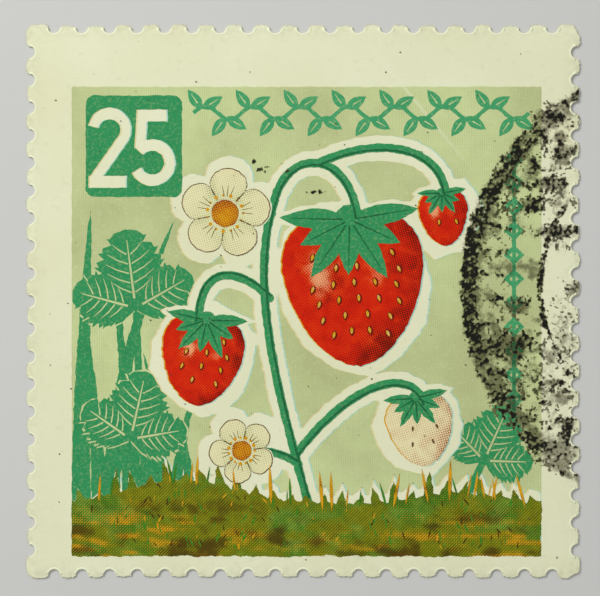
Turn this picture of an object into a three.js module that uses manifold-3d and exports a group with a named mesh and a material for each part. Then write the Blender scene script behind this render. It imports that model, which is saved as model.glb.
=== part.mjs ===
// Used postage stamp: one perforated sheet of paper, its printed ink films and a cancellation mark.
// Millimetres, +Z up. The sheet lies flat on its back with the picture up and +Y towards the picture's top.
// The origin is under the middle of the sheet, on the face that it lies on.

import * as THREE from 'three';
import { mergeVertices } from 'three/addons/utils/BufferGeometryUtils.js';
import Module from 'manifold-3d';

const wasm = await Module();
wasm.setup();

// Sheet and perforation
const HOLES_PER_SIDE = 19;
const HOLE_PITCH = 20 / 12;
const HOLE_DIAMETER = 0.74;
const HOLE_INSET = 0.15;
const TOOTH_ROUND = 0.26;
const SIDE = (HOLES_PER_SIDE + 1) * HOLE_PITCH;
const HALF = SIDE / 2;
const PAPER_THICKNESS = 0.1;
const NOTCH_STEPS = 6;
const TOOTH_WEAR = 0.09;
const TOOTH_DOME = 0.03;
const CORNER_ROUND = 0.6;
const CORNER_SLANT = 0.75;

// Ink films: the ground films lie on the paper, the next ones on them, the cancellation on top
const FILM = 0.02;
const TOP_OF_PAPER = PAPER_THICKNESS;
const TOP_OF_FIRST = TOP_OF_PAPER + FILM;
const TOP_OF_SECOND = TOP_OF_FIRST + FILM;
const TOP_OF_MARK = TOP_OF_SECOND + FILM;
const UNDER_PRINT = TOP_OF_PAPER - FILM;

// Printed panel, which sits low and a little right on the sheet
const PANEL = { left: -13.94, right: 14.34, bottom: -15.36, top: 12.93 };
const GROUND_HEIGHT = 3.2;
const GROUND_MOUNDS = [
  { x: -7.2, height: 1.5, reach: 4.6 },
  { x: 9.5, height: 0.7, reach: 3.4 },
];
const GRASS = { blades: 27, tip: 0.9, tipSpread: 0.6, lean: 0.3 };
const HALO = 0.75;
const HALO_UNEVENNESS = 0.45;
const GROUND_HALO = 0.5;
const TINT_PATCHES = 7;

// Motifs: middle, size and lean of each fruit and blossom
const FRUITS = {
  large: { x: 3.1, y: 0.7, width: 8.4, height: 9.2, lean: 0.07, rows: 6 },
  middle: { x: -6.1, y: -3.6, width: 4.9, height: 5.4, lean: -0.12, rows: 4 },
  small: { x: 8.5, y: 5.0, width: 2.9, height: 3.3, lean: 0.1, rows: 2 },
  unripe: { x: 7.1, y: -7.8, width: 3.9, height: 4.3, lean: 0.16, rows: 3 },
};
const BLOSSOMS = {
  upper: { x: -4.7, y: 5.3, radius: 2.75, turn: 0.2 },
  lower: { x: -3.7, y: -9.0, radius: 2.0, turn: 0.75 },
};
const SEED_SIZE = 0.24;
const SEPAL_REACH = 0.5;
const SEPAL_WHITE = 0.45;
const SEPAL_HEADINGS = [0.97, 1.13, 1.29, 1.47, 1.66, 1.84, 2.03];
const FRUIT_TOP = 0.46;
const BLOSSOM_HEART = 0.3;
const BLOSSOM_GAP = 0.1;

// Stems inside the knock-out, each a start, two pulls and an end
const STEM_WIDTH = 0.5;
const STEMS = [
  [[0.4, -12.6], [-0.9, -7.4], [-3.6, 0.6], [-1.7, 6.2]],
  [[-1.7, 6.2], [-0.9, 9.2], [2.7, 9.3], [3.3, 5.0]],
  [[-2.0, 0.2], [-4.2, 2.4], [-6.3, 2.0], [-6.3, -1.2]],
  [[0.9, 8.3], [4.0, 9.9], [8.2, 9.6], [8.6, 6.5]],
  [[-0.4, -9.2], [2.2, -5.6], [6.2, -3.4], [7.4, -6.2]],
  [[-1.9, 5.3], [-2.4, 5.6], [-3.0, 5.6], [-3.6, 5.4]],
  [[-0.3, -9.8], [-1.0, -9.3], [-1.6, -9.1], [-2.6, -9.0]],
];

// Leaves on the tint: foot of the middle leaflet, its length, width and heading
const LEAVES_LEFT = [
  { x: -10.1, y: -0.4, length: 4.8, width: 4.1, heading: 1.7, stalk: [[-10.2, -12.2], [-9.7, -5.2]] },
  { x: -10.4, y: -8.3, length: 4.2, width: 3.6, heading: 1.35, stalk: [[-12.2, -12.4], [-11.3, -10.6]] },
];
const LEAF_RIGHT = {
  x: 10.9, y: -9.6, length: 3.6, width: 3.1, heading: 1.15, stalk: [[9.7, -12.4], [10.1, -11.0]],
};
const LEAF_TEETH = 6;
const TALL_BLADES = [
  { foot: -13.4, tip: -12.8, height: 18.2, width: 1.25 },
  { foot: -12.3, tip: -13.6, height: 13.4, width: 0.95 },
  { foot: -11.6, tip: -7.8, height: 17.6, width: 1.1 },
  { foot: -10.5, tip: -11.6, height: 15.8, width: 0.85 },
  { foot: -9.5, tip: -7.0, height: 13.6, width: 1.05 },
  { foot: -8.6, tip: -9.6, height: 9.6, width: 0.85 },
  { foot: -7.7, tip: -6.4, height: 7.6, width: 0.9 },
  { foot: -6.8, tip: -7.4, height: 5.4, width: 0.7 },
];

// Value tablet, heading and side ornament
const TABLET = { left: -13.1, right: -7.3, bottom: 6.3, top: 12.4, round: 0.5 };
const NUMERAL_STROKE = 0.72;
const HEADING = { left: -6.6, right: 13.6, y: 11.35, wave: 0.42, leaf: 1.45, line: 0.24, waves: 7 };
const SIDE_COLUMN = { x: 12.7, top: 9.3, bottom: -6.6, count: 11, width: 1.25, line: 0.22 };

// Cancellation mark, struck from a middle beyond the sheet's right edge
const MARK = { x: 22.97, y: 0.86, outer: 13.0, outerStroke: 0.95, inner: 8.7, innerStroke: 0.34 };
const MARK_TICK = { length: 2.1, width: 0.34, step: 0.125, from: 2.2, to: 4.15 };

const FULL_TURN = 2 * Math.PI;

// Colours
const COLOURS = {
  paper: 0xe6e4cd,
  tint: 0xc4cf98,
  green: 0x379a62,
  ornament: 0x4fa876,
  ground: 0x6b6a1d,
  red: 0xc62f10,
  cream: 0xe3dcae,
  ochre: 0xd8a21c,
  mark: 0x35372f,
};

// Even draw between -1 and 1 that is the same on every run
function makeDraw(seed) {
  let state = seed;
  return () => {
    state = (state * 16807) % 2147483647;
    return state / 1073741823.5 - 1;
  };
}

function point(x, y) {
  return new THREE.Vector2(x, y);
}

function closedShape(points) {
  return new THREE.Shape(points);
}

// Film or sheet: an outline raised between two heights
function prism(shape, low, high, steps = 8) {
  const geometry = new THREE.ExtrudeGeometry(shape, {
    depth: high - low,
    bevelEnabled: false,
    curveSegments: steps,
  });
  geometry.translate(0, 0, low);
  return geometry;
}

function toSolid(geometry) {
  const bare = geometry.clone();
  bare.deleteAttribute('normal');
  bare.deleteAttribute('uv');
  const welded = mergeVertices(bare, 1e-5);
  return new wasm.Manifold(new wasm.Mesh({
    numProp: 3,
    vertProperties: Float32Array.from(welded.attributes.position.array),
    triVerts: Uint32Array.from(welded.index.array),
  }));
}

function toGeometry(solid) {
  const mesh = solid.getMesh();
  const geometry = new THREE.BufferGeometry();
  geometry.setAttribute('position', new THREE.BufferAttribute(Float32Array.from(mesh.vertProperties), 3));
  geometry.setIndex(new THREE.BufferAttribute(Uint32Array.from(mesh.triVerts), 1));
  geometry.computeVertexNormals();
  return geometry;
}

function prismSolid(shape, low, high, steps) {
  return toSolid(prism(shape, low, high, steps));
}

function joined(solids) {
  return solids.reduce((whole, solid) => whole.add(solid));
}

function without(solid, others) {
  return others.reduce((rest, other) => rest.subtract(other), solid);
}

// The bodies of a cut solid, largest first
function bodiesBySize(solid) {
  return solid.decompose().sort((a, b) => b.volume() - a.volume());
}

// The main body of a cut solid; scraps of ink that the cuts leave loose are dropped
function mainBody(solid) {
  return bodiesBySize(solid)[0];
}

// Strip of even width along a line of points, with square ends
function strip(line, width) {
  const left = [];
  const right = [];
  line.forEach((here, i) => {
    const before = line[Math.max(i - 1, 0)];
    const after = line[Math.min(i + 1, line.length - 1)];
    const along = after.clone().sub(before).normalize();
    const across = point(-along.y, along.x).multiplyScalar(width / 2);
    left.push(here.clone().add(across));
    right.unshift(here.clone().sub(across));
  });
  return closedShape([...left, ...right]);
}

function bezier([a, b, c, d], steps) {
  const curve = new THREE.CubicBezierCurve(point(...a), point(...b), point(...c), point(...d));
  return curve.getPoints(steps);
}

function arcLine(x, y, radius, from, to, steps) {
  return Array.from({ length: steps + 1 }, (_, i) => {
    const angle = from + ((to - from) * i) / steps;
    return point(x + radius * Math.cos(angle), y + radius * Math.sin(angle));
  });
}

// One side of the sheet, run from its left corner to its right corner along +X with the paper above it.
// The holes' middles lie a little inside the torn edge. Each notch flares out at its mouth, because the teeth
// between them have worn shoulders, and some teeth are torn shorter than others.
function perforatedSide(draw) {
  const rim = HOLE_DIAMETER / 2;
  const tips = Array.from({ length: HOLES_PER_SIDE - 1 }, () => TOOTH_WEAR * (0.5 + 0.5 * draw()));
  const ends = [0, ...tips.map((level) => level + TOOTH_DOME), 0];
  const shoulder = (middle, way, end) => [0.25, 0.6, 1].map((s) => {
    const level = end + (HOLE_INSET - end) * (1 - s) ** 2;
    return point(middle + way * (rim + TOOTH_ROUND * s), -HALF + level);
  });
  const points = [];
  for (let i = 1; i <= HOLES_PER_SIDE; i += 1) {
    const middle = -HALF + i * HOLE_PITCH;
    points.push(...shoulder(middle, -1, ends[i - 1]).reverse());
    points.push(...arcLine(middle, -HALF + HOLE_INSET, rim, Math.PI, 0, NOTCH_STEPS));
    points.push(...shoulder(middle, 1, ends[i]));
    if (i < HOLES_PER_SIDE) {
      points.push(point(middle + HOLE_PITCH / 2 + 0.1 * draw(), -HALF + tips[i - 1]));
    }
  }
  return points;
}

// Worn corners: the left ones are rounded, the right ones are torn on a slant
function cornerPoints(side) {
  const rounded = side === 2 || side === 3;
  if (rounded) {
    const middle = HALF - CORNER_ROUND;
    return arcLine(middle, -middle, CORNER_ROUND, -Math.PI / 2, 0, 4);
  }
  return [point(HALF - CORNER_SLANT, -HALF), point(HALF, -HALF + CORNER_SLANT * 0.55)];
}

function sheetOutline() {
  const draw = makeDraw(1903);
  const points = [];
  for (let side = 0; side < 4; side += 1) {
    const turn = (side * Math.PI) / 2;
    const origin = point(0, 0);
    for (const p of [...perforatedSide(draw), ...cornerPoints(side)]) {
      points.push(p.rotateAround(origin, turn));
    }
  }
  return closedShape(points);
}

// Fruit outline about its own middle: broad shoulders at the top and a blunt tip below
function fruitOutline(width, height) {
  const w = width / 2;
  const h = height / 2;
  const shape = new THREE.Shape();
  shape.moveTo(0, h * 0.86);
  shape.bezierCurveTo(-w * 0.5, h * 1.12, -w * 1.08, h * 0.9, -w, h * 0.25);
  shape.bezierCurveTo(-w * 0.92, -h * 0.42, -w * 0.42, -h, 0, -h);
  shape.bezierCurveTo(w * 0.42, -h, w * 0.92, -h * 0.42, w, h * 0.25);
  shape.bezierCurveTo(w * 1.08, h * 0.9, w * 0.5, h * 1.12, 0, h * 0.86);
  return shape;
}

// Seeds in staggered rows, as small pointed holes in the fruit's ink
function seedHoles(fruit) {
  const holes = [];
  for (let row = 0; row < fruit.rows; row += 1) {
    const level = 0.52 - (1.26 * row) / fruit.rows;
    const halfRow = (fruit.width / 2) * Math.sqrt(1 - (level - 0.2) ** 2) * 0.84;
    const count = Math.max(2, Math.round((2 * halfRow) / 1.35));
    for (let i = 0; i < count; i += 1) {
      const across = ((i + 0.5 + (row % 2) * 0.18) / count) * 2 - 1;
      const x = across * halfRow * 0.9;
      const y = (level - 0.1 * across * across) * (fruit.height / 2);
      const hole = new THREE.Path([
        point(x, y - SEED_SIZE),
        point(x + SEED_SIZE * 0.5, y),
        point(x, y + SEED_SIZE * 0.75),
        point(x - SEED_SIZE * 0.5, y),
      ]);
      holes.push(hole);
    }
  }
  return holes;
}

// Pointed leaf run from its foot along +X, as the sepals and the heading's leaves have
function pointedLeaf(length, width) {
  const shape = new THREE.Shape();
  shape.moveTo(0, 0);
  shape.quadraticCurveTo(length * 0.42, width, length, 0);
  shape.quadraticCurveTo(length * 0.42, -width, 0, 0);
  return shape;
}

// Sepals spread over a fruit's shoulders, with a small boss where they meet the stem; grow widens them
function sepalSolids(fruit, grow, low, high) {
  const top = fruit.height * FRUIT_TOP;
  const x = fruit.x - top * Math.sin(fruit.lean);
  const y = fruit.y + top * Math.cos(fruit.lean);
  const reach = fruit.width * SEPAL_REACH;
  const sepals = SEPAL_HEADINGS.map((heading, i) => {
    const length = reach * (i % 2 === 0 ? 1 : 0.8) + grow;
    const geometry = prism(pointedLeaf(length, reach * 0.3 + grow), low, high, 4);
    geometry.rotateZ(heading * Math.PI + fruit.lean);
    geometry.translate(x, y, 0);
    return toSolid(geometry);
  });
  const boss = closedShape(arcLine(x, y, reach * 0.22, 0, FULL_TURN * 0.9, 9));
  return [...sepals, prismSolid(boss, low, high)];
}

function blossomOutline(radius, grow = 0) {
  const points = [];
  const steps = 50;
  for (let i = 0; i < steps; i += 1) {
    const angle = (2 * Math.PI * i) / steps;
    const petal = Math.abs(Math.cos(2.5 * angle));
    const reach = radius * (0.66 + 0.34 * petal ** 0.6) + grow;
    points.push(point(reach * Math.cos(angle), reach * Math.sin(angle)));
  }
  return closedShape(points);
}

// Toothed leaflet, run from its foot along +X, with the middle vein and side veins left open
function leafletOutline(length, width) {
  const halfWidth = (s) => (width / 2) * Math.sin(Math.PI * s ** 0.85) ** 0.75;
  const upper = [];
  for (let i = 1; i < LEAF_TEETH; i += 1) {
    const s = i / LEAF_TEETH;
    upper.push(point(length * (s - 0.02), halfWidth(s) * 0.84));
    upper.push(point(length * (s + 0.07), halfWidth(s) + 0.12));
  }
  const lower = upper.map((p) => point(p.x, -p.y)).reverse();
  return closedShape([point(0, 0.12), ...upper, point(length, 0), ...lower, point(0, -0.12)]);
}

function leafletVeins(length, width) {
  const veins = [strip([point(length * 0.12, 0), point(length * 0.86, 0)], 0.16)];
  for (const side of [-1, 1]) {
    for (const s of [0.26, 0.46, 0.64]) {
      const reach = width * 0.34 * Math.sin(Math.PI * (s + 0.08));
      veins.push(strip([point(length * s, side * 0.2), point(length * (s + 0.16), side * reach)], 0.13));
    }
  }
  return veins;
}

// Leaf of three leaflets on a stalk; every part is a solid that starts on the paper
function leafSolid(leaf) {
  const parts = [];
  const gaps = [];
  const scales = [1, 0.82, 0.82];
  const turns = [0, 1.18, -1.18];
  scales.forEach((scale, i) => {
    const place = (shape, past) => {
      const geometry = prism(shape, TOP_OF_PAPER - past, TOP_OF_SECOND + past, 4);
      geometry.rotateZ(leaf.heading + turns[i]);
      geometry.translate(leaf.x, leaf.y, 0);
      return toSolid(geometry);
    };
    parts.push(place(leafletOutline(leaf.length * scale, leaf.width * scale), 0));
    for (const vein of leafletVeins(leaf.length * scale, leaf.width * scale)) {
      gaps.push(place(vein, FILM));
    }
  });
  const [foot, bend] = leaf.stalk;
  const line = new THREE.QuadraticBezierCurve(point(...foot), point(...bend), point(leaf.x, leaf.y));
  const stalk = prismSolid(strip(line.getPoints(8), 0.42), TOP_OF_PAPER, TOP_OF_SECOND);
  return without(joined(parts), gaps).add(stalk);
}

// Tall grass blade: a tapering strip from the ground strip to a bent tip
function tallBlade(blade) {
  const foot = PANEL.bottom + GROUND_HEIGHT - 0.6;
  const left = [];
  const right = [];
  const steps = 7;
  for (let i = 0; i <= steps; i += 1) {
    const s = i / steps;
    const x = blade.foot + (blade.tip - blade.foot) * s * s;
    const y = foot + blade.height * s;
    const half = (blade.width / 2) * (1 - s) ** 0.6;
    left.push(point(x - half, y));
    if (i < steps) {
      right.unshift(point(x + half, y));
    }
  }
  return prismSolid(closedShape([...left, ...right]), TOP_OF_PAPER, TOP_OF_SECOND);
}

// Height of the ground strip's top at a place across the picture
function groundLevel(x) {
  const mounds = GROUND_MOUNDS.map((mound) => mound.height * Math.exp(-(((x - mound.x) / mound.reach) ** 2)));
  return PANEL.bottom + GROUND_HEIGHT + mounds.reduce((sum, rise) => sum + rise);
}

// Ground strip: a low mound at either side and short grass along its top; grow widens it for the white above it
function groundOutline(grow) {
  const draw = makeDraw(77);
  const past = grow > 0 ? 0.02 : 0;
  const left = PANEL.left - past;
  const right = PANEL.right + past;
  const step = (PANEL.right - PANEL.left) / GRASS.blades;
  const half = (step + grow) * 0.3;
  const level = (x) => groundLevel(x) + grow;
  const bottom = PANEL.bottom - past;
  const points = [point(left, bottom), point(right, bottom), point(right, level(right))];
  for (let i = GRASS.blades - 1; i >= 0; i -= 1) {
    const x = PANEL.left + (i + 0.5) * step;
    const tip = GRASS.tip + GRASS.tipSpread * draw();
    const lean = GRASS.lean * draw();
    points.push(point(x + half, level(x)));
    points.push(point(x + lean, level(x) + tip));
    points.push(point(x - half, level(x) - 0.1));
  }
  points.push(point(left, level(left)));
  return closedShape(points);
}

// Plain two and five, as lines of even width that a numeral's strokes follow
function numeralLines() {
  const two = [
    ...arcLine(-11.65, 10.35, 0.98, Math.PI * 0.95, -Math.PI * 0.18, 9),
    point(-12.62, 7.28),
    point(-12.62, 7.27),
  ];
  const twoFoot = [point(-12.95, 7.2), point(-10.6, 7.2)];
  const fiveTop = [point(-8.15, 11.2), point(-10.02, 11.2)];
  const fiveStem = [point(-9.68, 11.5), point(-9.82, 9.2)];
  const fiveBowl = arcLine(-9.08, 8.36, 1.06, Math.PI * 0.78, -Math.PI * 0.86, 11);
  return [two, twoFoot, fiveTop, fiveStem, fiveBowl];
}

function numeralSolids() {
  return numeralLines().map((line) => prismSolid(strip(line, NUMERAL_STROKE), UNDER_PRINT, TOP_OF_MARK));
}

function tabletShape() {
  const { left, right, bottom, top, round } = TABLET;
  return closedShape([
    ...arcLine(right - round, top - round, round, 0, Math.PI / 2, 4),
    ...arcLine(left + round, top - round, round, Math.PI / 2, Math.PI, 4),
    ...arcLine(left + round, bottom + round, round, Math.PI, Math.PI * 1.5, 4),
    ...arcLine(right - round, bottom + round, round, Math.PI * 1.5, Math.PI * 2, 4),
  ]);
}

// Heading ornament: a waving line with a pointed leaf at each crest
function headingSolid() {
  const { left, right, y, wave, leaf, line, waves } = HEADING;
  const steps = waves * 8;
  const middle = Array.from({ length: steps + 1 }, (_, i) => {
    const s = i / steps;
    return point(left + (right - left) * s, y + wave * Math.sin(2 * Math.PI * waves * s));
  });
  const parts = [prismSolid(strip(middle, line), TOP_OF_FIRST, TOP_OF_SECOND)];
  for (let i = 0; i < waves * 2; i += 1) {
    const s = (i + 0.35) / (waves * 2);
    const up = i % 2 === 0 ? 1 : -1;
    for (const heading of [0.55, 2.2]) {
      const geometry = prism(pointedLeaf(leaf, leaf * 0.46), TOP_OF_FIRST, TOP_OF_SECOND, 3);
      geometry.rotateZ(up * heading);
      geometry.translate(left + (right - left) * s, y + up * wave * 0.55, 0);
      parts.push(toSolid(geometry));
    }
  }
  return joined(parts);
}

// Side ornament: lozenges with open middles, threaded on a line
function sideColumnSolid() {
  const { x, top, bottom, count, width, line } = SIDE_COLUMN;
  const pitch = (top - bottom) / count;
  const parts = [prismSolid(strip([point(x, top), point(x, bottom)], line), TOP_OF_FIRST, TOP_OF_SECOND)];
  for (let i = 0; i < count; i += 1) {
    const y = top - pitch * (i + 0.5);
    const half = width / 2;
    const tall = pitch * 0.4;
    const corners = (scale) => [
      point(x + half * scale, y), point(x, y + tall * scale),
      point(x - half * scale, y), point(x, y - tall * scale),
    ];
    const lozenge = closedShape(corners(1));
    lozenge.holes.push(new THREE.Path(corners(0.45)));
    parts.push(prismSolid(lozenge, TOP_OF_FIRST, TOP_OF_SECOND));
  }
  return joined(parts);
}

// Cancellation: an outer ring with ticks inside it, and an inner ring, cut off at the sheet's edge
function ringSolid(radius, stroke, steps) {
  const line = arcLine(MARK.x, MARK.y, radius, Math.PI * 0.5, Math.PI * 1.5, steps);
  return prismSolid(strip(line, stroke), TOP_OF_PAPER, TOP_OF_MARK);
}

function markTicks() {
  const ticks = [];
  for (let angle = MARK_TICK.from; angle <= MARK_TICK.to; angle += MARK_TICK.step) {
    const outer = MARK.outer;
    const inner = outer - MARK_TICK.length;
    const line = [outer, inner].map((r) => point(MARK.x + r * Math.cos(angle), MARK.y + r * Math.sin(angle)));
    ticks.push(prismSolid(strip(line, MARK_TICK.width), TOP_OF_PAPER, TOP_OF_MARK));
  }
  return ticks;
}

// Film of one motif, turned about its own middle and set where it is printed
function placedSolid(shape, item, low, high, turn) {
  const geometry = prism(shape, low, high, 6);
  geometry.rotateZ(turn);
  geometry.translate(item.x, item.y, 0);
  return toSolid(geometry);
}

function makeMesh(name, geometry, colour, roughness = 0.7) {
  const material = new THREE.MeshStandardMaterial({ color: colour, roughness, metalness: 0 });
  const mesh = new THREE.Mesh(geometry, material);
  mesh.name = name;
  return mesh;
}

// Uneven edge of the white round a fruit, like a cut-out's
function haloOutline(fruit, draw) {
  const corners = 13;
  return closedShape(Array.from({ length: corners }, (_, i) => {
    const angle = (2 * Math.PI * i) / corners;
    const spread = HALO * (1.15 + HALO_UNEVENNESS * draw());
    const narrow = 1 - 0.16 * Math.max(0, -Math.sin(angle)) * Math.abs(Math.cos(angle));
    return point(
      (fruit.width / 2 + spread) * narrow * Math.cos(angle),
      (fruit.height / 2 + spread) * narrow * Math.sin(angle),
    );
  }));
}

// White of the picture: everything that the tint leaves out round the fruits, blossoms and stems
function haloSolids() {
  const draw = makeDraw(411);
  const round = (shape, item, turn) => placedSolid(shape, item, UNDER_PRINT, TOP_OF_MARK, turn);
  const stemWhite = STEM_WIDTH + 1.4 * HALO;
  return [
    ...Object.values(FRUITS).map((fruit) => round(haloOutline(fruit, draw), fruit, fruit.lean)),
    ...Object.values(FRUITS).flatMap((fruit) => sepalSolids(fruit, SEPAL_WHITE, UNDER_PRINT, TOP_OF_MARK)),
    ...Object.values(BLOSSOMS).map((item) => round(blossomOutline(item.radius, HALO), item, item.turn)),
    ...STEMS.map((stem) => prismSolid(strip(bezier(stem, 6), stemWhite), UNDER_PRINT, TOP_OF_MARK)),
  ];
}

// Stems and sepals lie on the paper, end at the ground and leave the blossoms clear
function stemSolid(ground) {
  const parts = STEMS.map((stem) => prismSolid(strip(bezier(stem, 9), STEM_WIDTH), TOP_OF_PAPER, TOP_OF_FIRST));
  for (const fruit of Object.values(FRUITS)) {
    parts.push(...sepalSolids(fruit, 0, TOP_OF_PAPER, TOP_OF_FIRST));
  }
  const gaps = Object.values(BLOSSOMS).map((blossom) => placedSolid(
    blossomOutline(blossom.radius, BLOSSOM_GAP), blossom, UNDER_PRINT, TOP_OF_MARK, blossom.turn));
  return without(joined(parts), [ground, ...gaps]);
}

function fruitSolid(fruit, sepals) {
  const shape = fruitOutline(fruit.width, fruit.height);
  shape.holes.push(...seedHoles(fruit));
  return mainBody(placedSolid(shape, fruit, TOP_OF_PAPER, TOP_OF_FIRST, fruit.lean).subtract(sepals));
}

// Petals in one film with an open middle, and the heart printed in it
function blossomMeshes(name, blossom) {
  const heart = blossom.radius * BLOSSOM_HEART;
  const petals = blossomOutline(blossom.radius);
  petals.holes.push(new THREE.Path(arcLine(0, 0, heart + BLOSSOM_GAP, FULL_TURN, FULL_TURN / 15, 14)));
  const round = closedShape(arcLine(0, 0, heart, 0, FULL_TURN * (12 / 13), 12));
  const meshes = [
    makeMesh(`blossom_${name}`, prism(petals, 0, FILM), COLOURS.cream),
    makeMesh(`blossom_heart_${name}`, prism(round, 0, FILM), COLOURS.ochre),
  ];
  for (const mesh of meshes) {
    mesh.position.set(blossom.x, blossom.y, TOP_OF_PAPER);
    mesh.rotation.z = blossom.turn;
  }
  return meshes;
}

// Sheet, and what all the films are cut to
const paperShape = sheetOutline();
const panelShape = closedShape([
  point(PANEL.left, PANEL.bottom), point(PANEL.right, PANEL.bottom),
  point(PANEL.right, PANEL.top), point(PANEL.left, PANEL.top),
]);
const sheetAbove = prismSolid(paperShape, TOP_OF_PAPER, TOP_OF_MARK);
const panelAbove = prismSolid(panelShape, TOP_OF_PAPER, TOP_OF_SECOND);
const groundCover = prismSolid(groundOutline(0), UNDER_PRINT, TOP_OF_MARK);
const groundWhite = prismSolid(groundOutline(GROUND_HALO), UNDER_PRINT, TOP_OF_MARK);
const numerals = numeralSolids();
const halo = joined(haloSolids());

// First films, on the paper
const panelSolid = prismSolid(panelShape, TOP_OF_PAPER, TOP_OF_FIRST);
const [tint, ...tintPatches] = bodiesBySize(without(panelSolid, [groundWhite, halo, ...numerals]));
const ground = prismSolid(groundOutline(0), TOP_OF_PAPER, TOP_OF_FIRST);
const stems = stemSolid(ground);

// Second films, on the tint and down to the paper where it leaves off
const leavesLeft = joined([...LEAVES_LEFT.map(leafSolid), ...TALL_BLADES.map(tallBlade)]).intersect(panelAbove);
const leavesLeftPrint = mainBody(without(leavesLeft, [tint, groundCover, halo]));
const leafRightPrint = mainBody(without(leafSolid(LEAF_RIGHT), [tint, groundCover, halo]));
const tablet = without(prismSolid(tabletShape(), TOP_OF_FIRST, TOP_OF_SECOND), numerals);
const sideColumn = sideColumnSolid();

// Cancellation, over everything and cut off at the sheet's edge
const markRests = [tint, ground, sideColumn, leafRightPrint];
const outerRing = joined([ringSolid(MARK.outer, MARK.outerStroke, 48), ...markTicks()]);
const innerRing = ringSolid(MARK.inner, MARK.innerStroke, 36);
const outerMark = mainBody(without(outerRing.intersect(sheetAbove), markRests));
const innerMark = mainBody(without(innerRing.intersect(sheetAbove), markRests));

const stamp = new THREE.Group();
stamp.add(
  makeMesh('stamp_paper', prism(paperShape, 0, PAPER_THICKNESS), COLOURS.paper, 0.85),
  makeMesh('tint_panel', toGeometry(tint), COLOURS.tint),
  ...tintPatches.slice(0, TINT_PATCHES).map((patch, i) => makeMesh(
    `tint_patch_${i + 1}`, toGeometry(patch), COLOURS.tint)),
  makeMesh('ground_strip', toGeometry(ground), COLOURS.ground),
  makeMesh('fruit_stems', toGeometry(stems), COLOURS.green),
  makeMesh('leaves_left', toGeometry(leavesLeftPrint), COLOURS.green),
  makeMesh('leaf_right', toGeometry(leafRightPrint), COLOURS.green),
  makeMesh('value_tablet', toGeometry(tablet), COLOURS.green),
  makeMesh('heading_ornament', toGeometry(headingSolid()), COLOURS.ornament),
  makeMesh('side_ornament', toGeometry(sideColumn), COLOURS.ornament),
  ...Object.entries(FRUITS).map(([name, fruit]) => makeMesh(
    `fruit_${name}`, toGeometry(fruitSolid(fruit, stems)), name === 'unripe' ? COLOURS.cream : COLOURS.red)),
  ...Object.entries(BLOSSOMS).flatMap(([name, blossom]) => blossomMeshes(name, blossom)),
  makeMesh('mark_outer_ring', toGeometry(outerMark), COLOURS.mark),
  makeMesh('mark_inner_ring', toGeometry(innerMark), COLOURS.mark),
);

export default stamp;
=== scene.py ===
"""Used postage stamp: a perforated paper sheet, its printed inks and a cancellation mark.

The plan is worked out in millimetres from the middle of the sheet, and meshes are made in metres.
"""

import math

import bpy
import numpy as np
from mathutils import Matrix, Vector
from mathutils.geometry import delaunay_2d_cdt


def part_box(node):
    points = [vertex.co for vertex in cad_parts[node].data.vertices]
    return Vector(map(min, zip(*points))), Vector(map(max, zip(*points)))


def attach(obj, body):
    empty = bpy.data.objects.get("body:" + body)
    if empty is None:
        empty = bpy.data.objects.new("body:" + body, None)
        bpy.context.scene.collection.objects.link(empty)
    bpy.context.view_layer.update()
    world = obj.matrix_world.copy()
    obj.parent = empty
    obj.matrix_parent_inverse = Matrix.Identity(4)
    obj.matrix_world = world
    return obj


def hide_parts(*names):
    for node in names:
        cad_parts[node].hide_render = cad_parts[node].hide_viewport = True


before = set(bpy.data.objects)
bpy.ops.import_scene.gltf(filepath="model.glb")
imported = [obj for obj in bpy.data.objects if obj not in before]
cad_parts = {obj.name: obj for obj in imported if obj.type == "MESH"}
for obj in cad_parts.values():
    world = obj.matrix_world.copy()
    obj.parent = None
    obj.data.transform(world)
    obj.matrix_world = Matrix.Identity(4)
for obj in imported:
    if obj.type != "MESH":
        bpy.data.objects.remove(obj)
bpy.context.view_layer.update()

bl_info = {
    "name": "Used postage stamp",
    "version": (1, 0, 0),
    "blender": (4, 5, 0),
    "location": "View3D > Sidebar > Stamp",
    "description": "Builds a used postage stamp round its packed solids",
    "category": "Add Mesh",
}

MM = 0.001
FULL_TURN = 2 * math.pi

# Seeded draws, as the solids' source makes them
DRAW_FACTOR = 16807
DRAW_RANGE = 2147483647

# Floor's half width in metres, and the camera's lens and sensor in millimetres
FLOOR_HALF = 0.4
LENS = 100
SENSOR = 36


def box_mm(node):
    """Lowest and highest corner of a solid, in millimetres."""
    low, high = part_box(node)
    return [v / MM for v in low], [v / MM for v in high]


# Sheet, from the solids
HALF, _, PAPER = box_mm("stamp_paper")[1]
HOLES_PER_SIDE = 19
HOLE_PITCH = 2 * HALF / (HOLES_PER_SIDE + 1)
HOLE_DIAMETER = 0.74
HOLE_INSET = 0.15
TOOTH_ROUND = 0.26
TOOTH_WEAR = 0.09
TOOTH_DOME = 0.03
CORNER_ROUND = 0.6
CORNER_SLANT = 0.75

# Faint crease across the upper right of the sheet
CREASE = ((3.2, 16.4), (10.2, 7.9))

# Printed panel, from the solids
TINT_LOW, TINT_HIGH = box_mm("tint_panel")
PANEL_LEFT, PANEL_RIGHT, PANEL_TOP = TINT_LOW[0], TINT_HIGH[0], TINT_HIGH[1]
PANEL_BOTTOM = box_mm("ground_strip")[0][1]
TINT_NODES = [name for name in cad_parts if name.startswith("tint_")]

# Heights of the films' tops above the paper
TOP_FRINGE = 0.005
TOP_TINT = 0.009
TOP_GROUND = 0.011
TOP_PRINT = 0.016
TOP_DETAIL = 0.021
TOP_MARK = 0.030
SUNK = 0.003

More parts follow.
